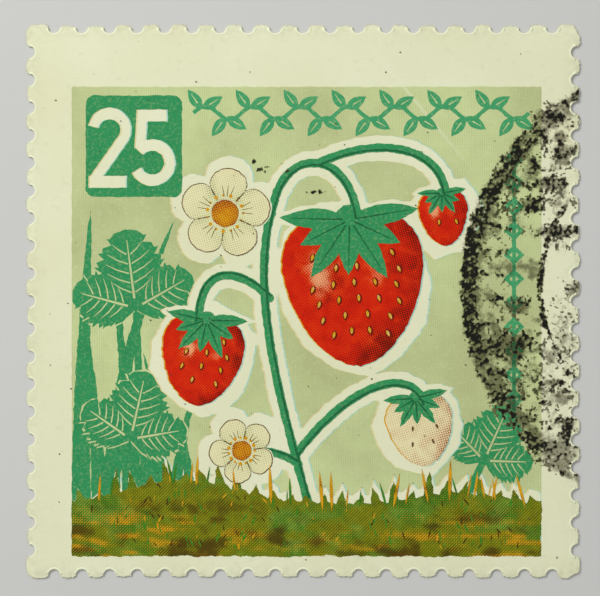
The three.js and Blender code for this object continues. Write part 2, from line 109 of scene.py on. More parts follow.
# Motifs, as in the solids
FRUITS = {
    "large": {"x": 3.1, "y": 0.7, "width": 8.4, "height": 9.2, "lean": 0.07, "rows": 6},
    "middle": {"x": -6.1, "y": -3.6, "width": 4.9, "height": 5.4, "lean": -0.12, "rows": 4},
    "small": {"x": 8.5, "y": 5.0, "width": 2.9, "height": 3.3, "lean": 0.1, "rows": 2},
    "unripe": {"x": 7.1, "y": -7.8, "width": 3.9, "height": 4.3, "lean": 0.16, "rows": 3},
}
BLOSSOMS = {
    "upper": {"x": -4.7, "y": 5.3, "radius": 2.75, "turn": 0.2},
    "lower": {"x": -3.7, "y": -9.0, "radius": 2.0, "turn": 0.75},
}
STEM_WIDTH = 0.5
STEMS = [
    [(0.4, -12.6), (-0.9, -7.4), (-3.6, 0.6), (-1.7, 6.2)],
    [(-1.7, 6.2), (-0.9, 9.2), (2.7, 9.3), (3.3, 5.0)],
    [(-2.0, 0.2), (-4.2, 2.4), (-6.3, 2.0), (-6.3, -1.2)],
    [(0.9, 8.3), (4.0, 9.9), (8.2, 9.6), (8.6, 6.5)],
    [(-0.4, -9.2), (2.2, -5.6), (6.2, -3.4), (7.4, -6.2)],
    [(-1.9, 5.3), (-2.4, 5.6), (-3.0, 5.6), (-3.6, 5.4)],
    [(-0.3, -9.8), (-1.0, -9.3), (-1.6, -9.1), (-2.6, -9.0)],
]
FRUIT_TOP = 0.46
SEPAL_REACH = 0.5
SEPAL_WHITE = 0.45
SEPAL_HEADINGS = [0.97, 1.13, 1.29, 1.47, 1.66, 1.84, 2.03]
SEED_LENGTH = 0.42
BLOSSOM_HEART = 0.3
BLOSSOM_GAP = 0.1
LEAVES_LEFT = [
    {"x": -10.1, "y": -0.4, "length": 4.8, "width": 4.1, "heading": 1.7,
     "stalk": [(-10.2, -12.2), (-9.7, -5.2)]},
    {"x": -10.4, "y": -8.3, "length": 4.2, "width": 3.6, "heading": 1.35,
     "stalk": [(-12.2, -12.4), (-11.3, -10.6)]},
]
LEAF_RIGHT = {"x": 10.9, "y": -9.6, "length": 3.6, "width": 3.1, "heading": 1.15,
              "stalk": [(9.7, -12.4), (10.1, -11.0)]}
LEAF_TEETH = 6
# Tall blades: where foot and tip are across, height and width
TALL_BLADES = [
    (-13.4, -12.8, 18.2, 1.25),
    (-12.3, -13.6, 13.4, 0.95),
    (-11.6, -7.8, 17.6, 1.1),
    (-10.5, -11.6, 15.8, 0.85),
    (-9.5, -7.0, 13.6, 1.05),
    (-8.6, -9.6, 9.6, 0.85),
    (-7.7, -6.4, 7.6, 0.9),
    (-6.8, -7.4, 5.4, 0.7),
]
# White round the motifs, ground strip, tablet and running ornaments
HALO = 0.75
HALO_UNEVENNESS = 0.45
GROUND_HALO = 0.5
GROUND_HEIGHT = 3.2
GROUND_MOUNDS = [(-7.2, 1.5, 4.6), (9.5, 0.7, 3.4)]
GRASS_BLADES = 27
TABLET = {"left": -13.1, "right": -7.3, "bottom": 6.3, "top": 12.4, "round": 0.5}
NUMERAL_STROKE = 0.72
HEADING = {"left": -6.6, "right": 13.6, "y": 11.35, "wave": 0.42, "leaf": 1.45, "line": 0.24, "waves": 7}
SIDE_COLUMN = {"x": 12.7, "top": 9.3, "bottom": -6.6, "count": 11, "width": 1.25, "line": 0.22}

# Cancellation mark, and the places where its ink is blotched: middle, reach across and up, and cover
MARK = {"x": 22.97, "y": 0.86, "outer": 13.0, "stroke": 0.95, "inner": 8.7, "inner_stroke": 0.34}
MARK_TICK = {"length": 2.1, "width": 0.34, "step": 0.125, "first": 2.2, "count": 16}
MARK_BLOTCHES = [
    (15.7, 11.7, 1.0, 0.5, 0.62),
    (14.8, 10.9, 1.1, 0.7, 0.7),
    (15.5, 9.9, 0.5, 0.5, 0.74),
    (15.6, 9.0, 1.0, 0.8, 0.55),
    (14.8, 7.1, 1.1, 0.55, 0.84),
    (13.8, 7.9, 0.7, 1.1, 0.5),
    (13.7, 5.8, 0.8, 0.6, 0.86),
    (15.4, 6.0, 1.0, 0.7, 0.28),
    (15.4, 4.2, 1.7, 0.45, 0.7),
    (15.5, 3.5, 1.1, 0.6, 0.3),
    (16.3, 0.5, 0.6, 0.9, 0.5),
    (15.6, -2.4, 1.3, 3.2, 0.29),
    (12.5, -2.7, 1.9, 1.0, 0.76),
    (11.2, -2.6, 1.3, 1.2, 0.55),
    (12.9, -0.3, 0.8, 0.6, 0.72),
    (13.8, -4.3, 1.4, 1.1, 0.36),
    (15.0, -5.6, 1.5, 1.2, 0.37),
    (14.9, -4.9, 0.9, 0.22, 0.8),
    (12.6, -5.4, 1.2, 1.5, 0.46),
    (13.1, -7.1, 1.2, 0.5, 0.74),
    (15.9, -7.4, 0.55, 0.5, 0.9),
    (15.3, -8.9, 1.6, 1.1, 0.66),
]
# Stray flecks of the same ink: middle, and reach across and up
MARK_FLECKS = [
    (-2.5, 7.95, 0.42, 0.2),
    (-0.9, 7.8, 0.3, 0.16),
    (0.7, 6.6, 0.5, 0.12),
    (-3.0, 8.4, 0.16, 0.12),
]


def srgb(red, green, blue):
    """Linear colour of three screen values up to 255."""
    values = [v / 255 for v in (red, green, blue)]
    linear = [v / 12.92 if v <= 0.04045 else ((v + 0.055) / 1.055) ** 2.4 for v in values]
    return (*linear, 1.0)


def deeper(colour, factor):
    """A darker tone of a colour."""
    return [c * factor for c in colour[:3]] + [1.0]


def length(name, text, size):
    """Length property whose default is given in millimetres."""
    return bpy.props.FloatProperty(name=name, description=text, default=size * MM, unit="LENGTH", precision=6)


def share(name, text, value):
    return bpy.props.FloatProperty(
        name=name, description=text, default=value, min=0.0, max=1.0, subtype="FACTOR"
    )


def tone(name, text, rgb):
    return bpy.props.FloatVectorProperty(
        name=name, description=text, default=srgb(*rgb), size=4, min=0.0, max=1.0, subtype="COLOR"
    )


class StampSheetSettings(bpy.types.PropertyGroup):
    """Paper sheet and its torn perforation."""

    hole_diameter: length("Hole diameter", "Diameter of the punched holes", HOLE_DIAMETER)
    raggedness: length("Raggedness", "How far the torn tips wander", 0.022)
    edge_lift: length("Edge lift", "How far the right edge has risen from the table", 0.022)
    rim_height: length("Rim height", "How far the paper stands up round each hole", 0.019)
    fibre_length: length("Fibre length", "Length of the paper fibres on the torn tips", 0.13)
    fibres: bpy.props.IntProperty(name="Fibres", description="Fibres on each torn tip", default=12, min=0)
    paper: tone("Paper", "Colour of the clean paper", (231, 233, 201))
    aged: tone("Aged paper", "Colour of the yellowed paper", (223, 222, 182))
    dirt: tone("Dirt", "Colour of soiled spots", (128, 118, 88))


class StampPrintSettings(bpy.types.PropertyGroup):
    """Printed inks and their screens."""

    screen_pitch: length("Tint screen", "Pitch of the fine screen in the background tint", 0.135)
    dot_pitch: length("Dot pitch", "Pitch of the halftone dots in the picture", 0.135)
    misfit: length("Misfit", "How far the colours are printed out of register", 0.09)
    tint: tone("Tint", "Pale green of the panel", (205, 217, 156))
    tint_deep: tone("Deep tint", "Khaki that the tint turns to", (186, 193, 137))
    green: tone("Green", "Green ink of the leaves", (48, 146, 88))
    ornament: tone("Ornament", "Green ink of the ornaments", (66, 160, 104))
    red: tone("Red", "Red ink of the fruits", (214, 30, 2))
    glow: tone("Under red", "Colour under the red ink where its dots are small", (240, 168, 118))
    flame: tone("Under full red", "Orange that shows between the dots of full red", (232, 96, 20))
    shadow: tone("Shadow", "Dark ink in the fruits' shade", (104, 18, 2))
    cream: tone("Cream", "Cream ink of petals and unripe fruit", (233, 226, 178))
    speck: tone("Specks", "Brown ink of specks and outlines", (98, 66, 26))
    ochre: tone("Ochre", "Yellow ink of hearts, seeds and dry grass", (216, 160, 22))
    straw: tone("First yellow", "Pale yellow that shows at the left of the white parts", (226, 214, 156))
    sky: tone("First blue", "Pale blue that shows at the right of the picture's shapes", (172, 214, 196))
    olive: tone("Olive", "Ground ink", (122, 134, 14))
    moss: tone("Moss", "Green of the ground's grass", (62, 130, 30))
    fresh: tone("Fresh green", "Light green of the ground's grass", (104, 156, 52))
    earth: tone("Earth", "Brown of the ground's shade", (70, 47, 8))


class StampMarkSettings(bpy.types.PropertyGroup):
    """Cancellation mark."""

    cover: share("Cover", "How much of the mark's strokes took ink", 0.9)
    stain: share("Stain", "How dark the thin ink is that soaked in round the strokes", 0.9)
    grain: length("Grain", "Size of the ink's blotches", 0.14)
    ink: tone("Ink", "Cancelling ink", (27, 28, 22))
    thin: tone("Thin ink", "Cancelling ink where it lies thin", (98, 88, 70))


class StampStageSettings(bpy.types.PropertyGroup):
    """Floor, lights and camera."""

    floor: tone("Floor", "Colour of the floor", (206, 206, 203))
    key_power: bpy.props.FloatProperty(name="Key light", description="Power of the main light", default=0.72)
    fill_power: bpy.props.FloatProperty(name="Fill light", description="Power of the fill light", default=0.12)
    ambient: bpy.props.FloatProperty(name="Ambient", description="Strength of the even light", default=0.4)
    view_width: length("View width", "Width that the camera takes in", 36.19)
    view_x: length("View across", "Middle of the view across", -0.19)
    view_y: length("View up", "Middle of the view up", 0.2)


# Plane outlines, as arrays of points in millimetres


def even_draws(seed):
    """Draws between -1 and 1, in the order in which the solids' source makes them."""
    state = seed
    while True:
        state = state * DRAW_FACTOR % DRAW_RANGE
        yield state / (DRAW_RANGE / 2) - 1


def arc(x, y, radius, start, end, steps):
    angles = np.linspace(start, end, steps + 1)
    return np.column_stack((x + radius * np.cos(angles), y + radius * np.sin(angles)))


def bezier(pulls, steps):
    a, b, c, d = (np.array(p, float) for p in pulls)
    s = np.linspace(0, 1, steps + 1)[:, None]
    return a * (1 - s) ** 3 + 3 * b * s * (1 - s) ** 2 + 3 * c * s**2 * (1 - s) + d * s**3


def strip(line, width, shift=0.0):
    """Outline of a stroke along a line; width may change along it, and shift moves it to its left."""
    line = np.array(line, float)
    ahead = np.vstack((line[1:], line[-1:]))
    behind = np.vstack((line[:1], line[:-1]))
    along = ahead - behind
    along /= np.maximum(np.hypot(along[:, 0], along[:, 1]), 1e-9)[:, None]
    across = np.column_stack((-along[:, 1], along[:, 0]))
    half = (np.ones(len(line)) * width / 2)[:, None]
    return np.vstack((line + across * (half + shift), (line - across * (half - shift))[::-1]))


def placed(loop, x, y, turn=0.0):
    c, s = math.cos(turn), math.sin(turn)
    return np.array(loop) @ np.array([[c, s], [-s, c]]) + (x, y)


def roughened(loop, seed, amount=0.014, step=0.11):
    """The loop with points every step and a slight wander, as an inked edge on paper has."""
    loop = np.array(loop, float)
    after = np.roll(loop, -1, axis=0)
    points = []
    for a, b in zip(loop, after):
        count = max(1, math.ceil(np.hypot(*(b - a)) / step))
        points.append(a + (b - a) * (np.arange(count) / count)[:, None])
    points = np.vstack(points)
    wander = np.random.default_rng(seed).normal(size=points.shape)
    wander = (wander + np.roll(wander, 1, axis=0) + np.roll(wander, -1, axis=0)) / 1.7
    return points + wander * amount


def inside(points, loops):
    """Which points lie in any of the loops."""
    found = np.zeros(len(points), bool)
    for loop in loops:
        loop = np.asarray(loop)
        near = np.all((points >= loop.min(0)) & (points <= loop.max(0)), axis=1)
        x, y = points[near, 0], points[near, 1]
        odd = np.zeros(len(x), bool)
        for (x0, y0), (x1, y1) in zip(loop, np.roll(loop, -1, axis=0)):
            if y0 == y1:
                continue
            crosses = (y0 > y) != (y1 > y)
            odd ^= crosses & (x < (x1 - x0) * (y - y0) / (y1 - y0) + x0)
        found[np.flatnonzero(near)[odd]] = True
    return found


def region(loops, rule, spacing=0.8):
    """Points and triangles of the plane, cut along the loops, whose middles pass the rule."""
    points = np.vstack(loops)
    edges = []
    first = 0
    for loop in loops:
        edges += [(first + i, first + (i + 1) % len(loop)) for i in range(len(loop))]
        first += len(loop)
    low, high = points.min(0), points.max(0)
    across = np.arange(low[0] + spacing / 2, high[0], spacing)
    up = np.arange(low[1] + spacing / 2, high[1], spacing)
    grid = np.array([(x, y) for y in up for x in across]).reshape(-1, 2)
    everything = [Vector(p) for p in np.vstack((points, grid)).tolist()]
    found = delaunay_2d_cdt(everything, edges, [], 0, 1e-6, False)
    corners = np.array([v[:] for v in found[0]])
    triangles = np.array([f for f in found[2] if len(f) == 3])
    kept = triangles[rule(corners[triangles].mean(axis=1))]
    return tidy_region(corners, kept)


def without(kept, dropped, within=None, spacing=0.8):
    """Region inside the kept loops, outside the dropped ones and, where given, inside the bounding loop."""
    loops = kept + dropped + ([within] if within is not None else [])

    def rule(middles):
        found = inside(middles, kept) & ~inside(middles, dropped)
        return found & inside(middles, [within]) if within is not None else found

    return region(loops, rule, spacing)


def filled(loop, spacing=0.8):
    """Region inside one loop."""
    return without([loop], [], spacing=spacing)


def tidy_region(corners, triangles):
    """The region without unused points, and with every triangle running anticlockwise."""
    used, flat = np.unique(triangles, return_inverse=True)
    triangles = flat.reshape(-1, 3)
    corners = corners[used]
    a, b, c = (corners[triangles[:, i]] for i in range(3))
    area = (b[:, 0] - a[:, 0]) * (c[:, 1] - a[:, 1]) - (b[:, 1] - a[:, 1]) * (c[:, 0] - a[:, 0])
    triangles = triangles[np.abs(area) > 1e-9]
    area = area[np.abs(area) > 1e-9]
    triangles[area < 0] = triangles[area < 0][:, ::-1]
    return corners, triangles


def field_region(field, left, right, bottom, top, cell):
    """Points and triangles where a field is positive, cut where it crosses zero."""
    xs = np.arange(left, right + cell, cell)
    ys = np.arange(bottom, top + cell, cell)
    across, up = np.meshgrid(xs, ys)
    corners = np.column_stack((across.ravel(), up.ravel()))
    values = field(corners[:, 0], corners[:, 1])
    values[values == 0] = 1e-6
    wide = len(xs)
    base = (np.arange(len(ys) - 1)[:, None] * wide + np.arange(wide - 1)[None, :]).ravel()
    lower = np.column_stack((base, base + 1, base + wide + 1))
    upper = np.column_stack((base, base + wide + 1, base + wide))
    triangles = np.vstack((lower, upper))
    count = (values[triangles] > 0).sum(axis=1)
    kept = triangles[count == 3].tolist()
    points = corners.tolist()
    cuts = {}

    def cut(a, b):
        key = (min(a, b), max(a, b))
        if key not in cuts:
            s = values[key[0]] / (values[key[0]] - values[key[1]])
            s = min(max(s, 0.04), 0.96)
            cuts[key] = len(points)
            points.append((corners[key[0]] + (corners[key[1]] - corners[key[0]]) * s).tolist())
        return cuts[key]

    for tri in triangles[(count == 1) | (count == 2)]:
        tri = list(map(int, tri))
        lone = [i for i in range(3) if (values[tri[i]] > 0) == (sum(values[t] > 0 for t in tri) == 1)][0]
        a, b, c = tri[lone], tri[(lone + 1) % 3], tri[(lone + 2) % 3]
        ab, ac = cut(a, b), cut(a, c)
        if values[a] > 0:
            kept.append([a, ab, ac])
        else:
            kept += [[ab, b, c], [ab, c, ac]]
    return tidy_region(np.array(points), np.array(kept))


def soft_noise(x, y, size, seed, octaves=2):
    """Smooth noise from 0 to 1 whose blotches are about the given size."""
    total = np.zeros_like(x, dtype=float)
    weight = 0.0
    for octave in range(octaves):
        scale = size / 2**octave
        lattice = np.random.default_rng(seed + octave).random((256, 256))
        u, v = x / scale + 97.3, y / scale + 61.7
        i, j = np.floor(u).astype(int), np.floor(v).astype(int)
        fu, fv = u - i, v - j
        fu, fv = fu * fu * (3 - 2 * fu), fv * fv * (3 - 2 * fv)
        low = lattice[j % 256, i % 256] * (1 - fu) + lattice[j % 256, (i + 1) % 256] * fu
        high = lattice[(j + 1) % 256, i % 256] * (1 - fu) + lattice[(j + 1) % 256, (i + 1) % 256] * fu
        total += (low * (1 - fv) + high * fv) * 0.6**octave
        weight += 0.6**octave
    return total / weight


def lift(x, y):
    """Height of the sheet's back over the table, in millimetres: its side edges have risen a little."""
    rise = bpy.context.scene.stamp_sheet.edge_lift / MM
    right = np.maximum(0, (x - 4) / (HALF - 4)) ** 2
    left = np.maximum(0, (-x - 7) / (HALF - 7)) ** 2
    ripple = (1 + np.sin(0.31 * x + 0.24 * y + 0.6)) * np.abs(y / HALF) ** 2
    return rise * (right + 0.5 * left + 0.16 * ripple)


# Meshes and pieces


def settle(mesh):
    """Raises every corner by the height that the sheet's back has there."""
    places = np.empty(len(mesh.vertices) * 3)
    mesh.vertices.foreach_get("co", places)
    places = places.reshape(-1, 3)
    places[:, 2] += lift(places[:, 0] / MM, places[:, 1] / MM) * MM
    mesh.vertices.foreach_set("co", places.ravel())
    mesh.update()
    return mesh


def add_values(mesh, values):
    """Gives each point of a mesh numbers of its own, by name."""
    for key, value in values.items():
        layer = mesh.attributes.new(key, "FLOAT", "POINT")
        layer.data.foreach_set("value", np.ascontiguousarray(value, np.float32))


def closed_mesh(name, points, triangles, low, high, values=None):
    """Closed film between two heights over the table; each height is a number or one for each point."""
    count = len(points)
    top, bottom = (np.column_stack((points, level * np.ones(count))) * MM for level in (high, low))
    edges = {(int(t[i]), int(t[(i + 1) % 3])) for t in triangles for i in range(3)}
    rim = [(a, b) for a, b in sorted(edges) if (b, a) not in edges]
    faces = triangles.tolist() + (triangles[:, ::-1] + count).tolist()
    faces += [(a + count, b + count, b, a) for a, b in rim]
    mesh = bpy.data.meshes.new(name)
    mesh.from_pydata(np.vstack((top, bottom)).tolist(), [], faces)
    add_values(mesh, {key: np.tile(value, 2) for key, value in (values or {}).items()})
    mesh.shade_smooth()
    mesh.set_sharp_from_angle(angle=math.radians(40))
    mesh.update()
    return mesh


def add_object(name, mesh):
    thing = bpy.data.objects.new(name, mesh)
    bpy.context.scene.collection.objects.link(thing)
    return thing


def add_piece(name, mesh, material, nodes=()):
    """A finished piece of the stamp, which stands for the named solids."""
    mesh.materials.clear()
    mesh.materials.append(material)
    piece = add_object(name, mesh)
    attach(piece, "root")
    if nodes:
        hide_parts(*nodes)


def add_film(name, shape, top, material, nodes=(), values=None):
    """A film of ink on the paper, top millimetres above it."""
    points, triangles = shape
    if not len(triangles):
        raise RuntimeError(f"{name} has no area")
    ground = PAPER + lift(points[:, 0], points[:, 1])
    mesh = closed_mesh(name, points, triangles, ground - SUNK, ground + top, values)
    add_piece(name, mesh, material, nodes)


# Node trees


class Nodes:
    """Adds nodes to a tree and joins them."""

    def __init__(self, tree):
        self.tree = tree

    def feed(self, socket, value):
        if isinstance(value, bpy.types.NodeSocket):
            self.tree.links.new(value, socket)
        else:
            socket.default_value = value

    def add(self, kind, inputs=None, out=0, **settings):
        """A new node's output; inputs are given by name or number."""
        node = self.tree.nodes.new(kind)
        for key, value in settings.items():
            setattr(node, key, value)
        for key, value in (inputs or {}).items():
            self.feed(node.inputs[key], value)
        return node.outputs[out]

    def math(self, operation, *values):
        return self.add("ShaderNodeMath", dict(enumerate(values)), operation=operation)

    def times(self, first, second):
        return self.math("MULTIPLY", first, second)

    def plus(self, first, second):
        return self.math("ADD", first, second)

    def minus(self, first, second):
        return self.math("SUBTRACT", first, second)

    def random(self, low, high, seed):
        return self.add("FunctionNodeRandomValue", {2: low, 3: high, 8: seed}, out=1)

    def stored(self, name):
        return self.add("GeometryNodeInputNamedAttribute", {0: name}, data_type="FLOAT")


class Shader(Nodes):
    """A material on the sheet's own millimetres."""

    def __init__(self, name, roughness, specular):
        self.material = bpy.data.materials.new(name)
        self.material.use_nodes = True
        super().__init__(self.material.node_tree)
        self.surface = self.tree.nodes["Principled BSDF"]
        self.surface.inputs["Roughness"].default_value = roughness
        self.surface.inputs["Specular IOR Level"].default_value = specular
        self.place = self.add("ShaderNodeTexCoord", out=3)
        self.place = self.mapped(Scale=(1 / MM,) * 3)

    def mapped(self, **inputs):
        """The place, moved, turned or scaled."""
        return self.add("ShaderNodeMapping", {"Vector": self.place, **inputs})

    def parts(self, vector):
        return self.add("ShaderNodeSeparateXYZ", {0: vector}).node.outputs

    def distance(self, vector):
        return self.add("ShaderNodeVectorMath", {0: vector}, out=1, operation="LENGTH")

    def noise(self, scale, detail=2.0, stretch=None, distortion=0.0):
        place = self.mapped(Scale=stretch) if stretch else self.place
        inputs = {"Vector": place, "Scale": scale, "Detail": detail, "Distortion": distortion}
        return self.add("ShaderNodeTexNoise", inputs)

    def span(self, value, low, high, to_low=0.0, to_high=1.0):
        inputs = {0: value, 1: low, 2: high, 3: to_low, 4: to_high}
        return self.add("ShaderNodeMapRange", inputs, clamp=True)

    def blend(self, factor, first, second, mode="MIX"):
        inputs = {0: factor, 6: first, 7: second}
        return self.add("ShaderNodeMix", inputs, out=2, data_type="RGBA", blend_type=mode)

    def layer(self, name):
        return self.add("ShaderNodeAttribute", out=2, attribute_name=name)

    def waves(self, pitch, turn=0.0):
        """Two crossing waves of a pitch in millimetres, each from -1 to 1."""
        parts = self.parts(self.mapped(Rotation=(0, 0, turn), Scale=(FULL_TURN / pitch,) * 3))
        return [self.math("COSINE", parts[i]) for i in range(2)]

    def dots(self, cover, pitch, turn, soft=0.36):
        """Halftone dots at a pitch in millimetres, whose size follows the cover."""
        spot = self.math("MULTIPLY_ADD", self.plus(*self.waves(pitch, turn)), 0.25, 0.5)
        return self.span(self.minus(cover, spot), -soft, soft)

    def lines(self, cover, pitch, turn, soft):
        """Halftone lines at a pitch in millimetres, whose width follows the cover."""
        spot = self.math("MULTIPLY_ADD", self.waves(pitch, turn)[0], 0.5, 0.5)
        return self.span(self.minus(cover, spot), -soft, soft)

    def straight(self, start, end, width):
        """1 along a line between two places, falling to 0 beside it and at its ends."""
        run = np.array(end) - start
        reach = float(np.hypot(*run))
        along = run / reach
        offset = self.add("ShaderNodeVectorMath", {0: self.place, 1: (*start, 0)}, operation="SUBTRACT")
        parts = []
        for way in (along, (-along[1], along[0])):
            inputs = {0: offset, 1: (way[0], way[1], 0)}
            parts.append(self.add("ShaderNodeVectorMath", inputs, out=1, operation="DOT_PRODUCT"))
        beside = self.span(self.math("ABSOLUTE", parts[1]), 0, width / 2, 1, 0)
        within = self.times(self.span(parts[0], 0, 1.5), self.span(parts[0], reach - 3, reach, 1, 0))
        return self.times(beside, within)

    def finish(self, colour, bump=None, depth=0.004):
        self.feed(self.surface.inputs["Base Color"], colour)
        if bump is not None:
            inputs = {"Height": bump, "Distance": depth * MM, "Strength": 1.0}
            self.feed(self.surface.inputs["Normal"], self.add("ShaderNodeBump", inputs))
        return self.material


def paper_colour(shader, settings):
    """Paper in slow drifts of age, with faint fibres and a little soil."""
    age = shader.span(shader.noise(0.14, 3), 0.35, 0.7, 0.0, 0.7)
    colour = shader.blend(age, settings.paper, settings.aged)
    fibre = shader.span(shader.noise(5, 3, (1.0, 2.6, 1.0), 0.6), 0.3, 0.7, 0.0, 0.3)
    colour = shader.blend(fibre, colour, settings.aged)
    soil = shader.span(shader.noise(1.9, 5), 0.6, 0.85, 0.0, 0.16)
    return shader.blend(soil, colour, settings.dirt)


def stained(shader, colour):
    """The colour under the thin cancelling ink that soaked in round the mark's strokes."""
    mark = bpy.context.scene.stamp_mark
    offset = shader.mapped(Location=(-MARK["x"], -MARK["y"], 0), Scale=(1, 1, 0))
    away = shader.distance(offset)
    parts = shader.parts(offset)
    heading = shader.math("ARCTAN2", parts[1], shader.times(parts[0], -1.0))
    angle = shader.minus(math.pi - MARK_TICK["first"], heading)

    def ring(radius, near, far):
        return shader.span(shader.math("ABSOLUTE", shader.minus(away, radius)), near, far, 1.0, 0.0)

    patch = shader.span(shader.noise(0.75, 3), 0.36, 0.66)
    teeth = shader.math("COSINE", shader.times(angle, FULL_TURN / MARK_TICK["step"]))
    zone = ring(MARK["outer"] - MARK_TICK["length"] / 2, 1.1, 1.7)
    covers = [
        shader.times(ring(MARK["outer"] - 0.15, 0.4, 1.0), shader.span(patch, 0, 1, 0.66, 1.0)),
        shader.times(ring(MARK["inner"], 0.08, 0.4), shader.span(patch, 0, 1, 0.3, 0.7)),
        shader.times(shader.span(teeth, 0.0, 0.9, 0.1, 0.5), zone),
        shader.times(ring(MARK["outer"] - 2.3, 1.4, 3.2), shader.span(patch, 0.3, 1.0, 0.0, 0.85)),
    ]
    for x, y, across, up, cover in MARK_BLOTCHES:
        scale = (0.75 / across, 0.75 / up, 0)
        reach = shader.distance(shader.mapped(Location=(-x * scale[0], -y * scale[1], 0), Scale=scale))
        covers.append(shader.span(reach, 0.25, 1.1, min(1.0, cover + 0.24), 0.0))
    load = covers[0]
    for cover in covers[1:]:
        load = shader.math("MAXIMUM", load, cover)
    grain = shader.math("MULTIPLY_ADD", shader.noise(9, 3), 0.35, shader.noise(3.6, 5))
    found = shader.minus(shader.math("MULTIPLY_ADD", load, 0.8, grain), 0.98)
    depth = shader.times(shader.span(found, 0.0, 0.32), shader.span(load, 0.02, 0.3))
    dark = shader.span(found, 0.25, 0.6, 0.7, 0.9)
    inked = shader.blend(dark, colour, mark.thin, "MULTIPLY")
    return shader.blend(shader.times(depth, mark.stain), colour, inked)


def paper_finish(settings):
    shader = Shader("stamp paper", 0.85, 0.16)
    worn = shader.times(shader.layer("wear"), shader.span(shader.noise(2.6, 4), 0.4, 0.75, 0.0, 0.24))
    colour = shader.blend(worn, paper_colour(shader, settings), settings.dirt)
    crease = shader.straight(*CREASE, 0.3)
    colour = stained(shader, shader.blend(shader.times(crease, 0.5), colour, settings.paper))
    facing = shader.parts(shader.add("ShaderNodeNewGeometry", out=1))[2]
    behind = shader.times(shader.math("LESS_THAN", facing, 0.0), shader.layer("printed"))
    colour = shader.blend(shader.times(behind, 0.3), colour, bpy.context.scene.stamp_print.tint_deep)
    grain = shader.plus(shader.noise(5, 3, (1.0, 2.6, 1.0), 0.6), shader.noise(11, 4))
    return shader.finish(colour, shader.math("MULTIPLY_ADD", crease, 0.6, grain), 0.006)


def rim_highlight_finish(settings):
    """Paper pressed up round a hole, painted paler than the sheet: a painted highlight of the light that
    catches the raised rim.
    """
    shader = Shader("pressed rims", 0.85, 0.2)
    # pale is a painted highlight: the rim's paper is lightened where light would catch the raised edge
    pale = [min(1.0, c * 1.1 + 0.02) for c in settings.paper[:3]] + [1.0]
    colour = shader.blend(0.4, paper_colour(shader, settings), pale)
    return shader.finish(colour, shader.noise(9, 4), 0.006)


def tint_finish(settings):
    """Tint in a fine woven screen, with drifts, bare specks, soil and the crease."""
    shader = Shader("background tint", 0.7, 0.14)
    sheet = bpy.context.scene.stamp_sheet
    across, up = shader.waves(settings.screen_pitch / MM)
    weave = shader.math("MULTIPLY_ADD", up, 0.17, shader.math("MULTIPLY_ADD", across, 0.33, 0.5))
    strength = shader.span(shader.noise(1.1, 3), 0.35, 0.65, 0.18, 0.42)
    crease = shader.straight(*CREASE, 0.28)
    colour = settings.tint
    for cover, over in (
        (shader.span(shader.noise(0.13, 2), 0.38, 0.66), settings.tint_deep),
        (shader.times(weave, strength), deeper(settings.tint_deep, 0.66)),
        (shader.span(shader.noise(6.0, 3), 0.55, 0.82, 0.0, 0.3), sheet.paper),
        (shader.span(shader.noise(1.7, 5), 0.62, 0.85, 0.0, 0.2), sheet.dirt),
        (shader.times(crease, 0.45), sheet.paper),
    ):
        colour = shader.blend(cover, colour, over)
    grain = shader.math("MULTIPLY_ADD", crease, 0.6, shader.noise(9, 4))
    return shader.finish(stained(shader, colour), grain, 0.005)


def solid_ink(name, colour, showing, strength=0.2, rough=0.62, under_mark=False):
    """Ink that lies a little thin in fine specks, where what is under it shows."""
    shader = Shader(name, rough, 0.12)
    cloud = shader.span(shader.noise(0.9, 3), 0.3, 0.7, 0.0, 0.6)
    mixed = shader.blend(cloud, colour, deeper(colour, 0.82))
    thin = shader.span(shader.noise(6.5, 4), 0.5, 0.76, 0.0, strength)
    mixed = shader.blend(thin, mixed, showing)
    if under_mark:
        mixed = stained(shader, mixed)
    return shader.finish(mixed, shader.noise(9, 3), 0.005)


def halftone_ink(name, settings, under, over, dark, grain=0.25, full=None):
    """Picture ink in two screens: cover sets the ink's dots and shade those of the dark ink."""
    shader = Shader(name, 0.62, 0.1)
    pitch = settings.dot_pitch / MM
    blot = shader.span(shader.noise(1.1, 5, distortion=0.5), 0.28, 0.72, -grain, grain)
    cover = shader.plus(shader.layer("cover"), blot)
    shade = shader.plus(shader.layer("shade"), shader.times(blot, 0.9))
    if full:
        under = shader.blend(shader.span(cover, 0.3, 0.75), under, full)
    colour = shader.blend(shader.dots(cover, pitch, math.radians(45)), under, over)
    colour = shader.blend(shader.dots(shade, pitch, math.radians(75)), colour, dark)
    return shader.finish(colour, shader.noise(9, 3), 0.005)


def ground_finish(settings):
    """Painted ground in fine screens: moss and ochre by their attributes, and dark lines in the shade."""
    shader = Shader("ground inks", 0.64, 0.1)
    pitch = settings.dot_pitch / MM
    fine = shader.span(shader.noise(2.6, 4), 0.3, 0.7, -0.14, 0.14)
    moss = shader.dots(shader.plus(shader.layer("moss"), fine), pitch, math.radians(15), 0.4)
    fresh = shader.blend(shader.span(shader.noise(0.8, 3), 0.45, 0.62), settings.moss, settings.fresh)
    colour = shader.blend(moss, settings.olive, fresh)
    warm = shader.dots(shader.plus(shader.layer("warm"), fine), pitch, 0.0, 0.35)
    colour = shader.blend(warm, colour, settings.ochre)
    dark = shader.lines(shader.minus(shader.layer("shade"), fine), pitch, math.radians(45), 0.45)
    colour = shader.blend(shader.times(dark, 0.9), colour, settings.earth)
    return shader.finish(colour, shader.noise(9, 3), 0.005)


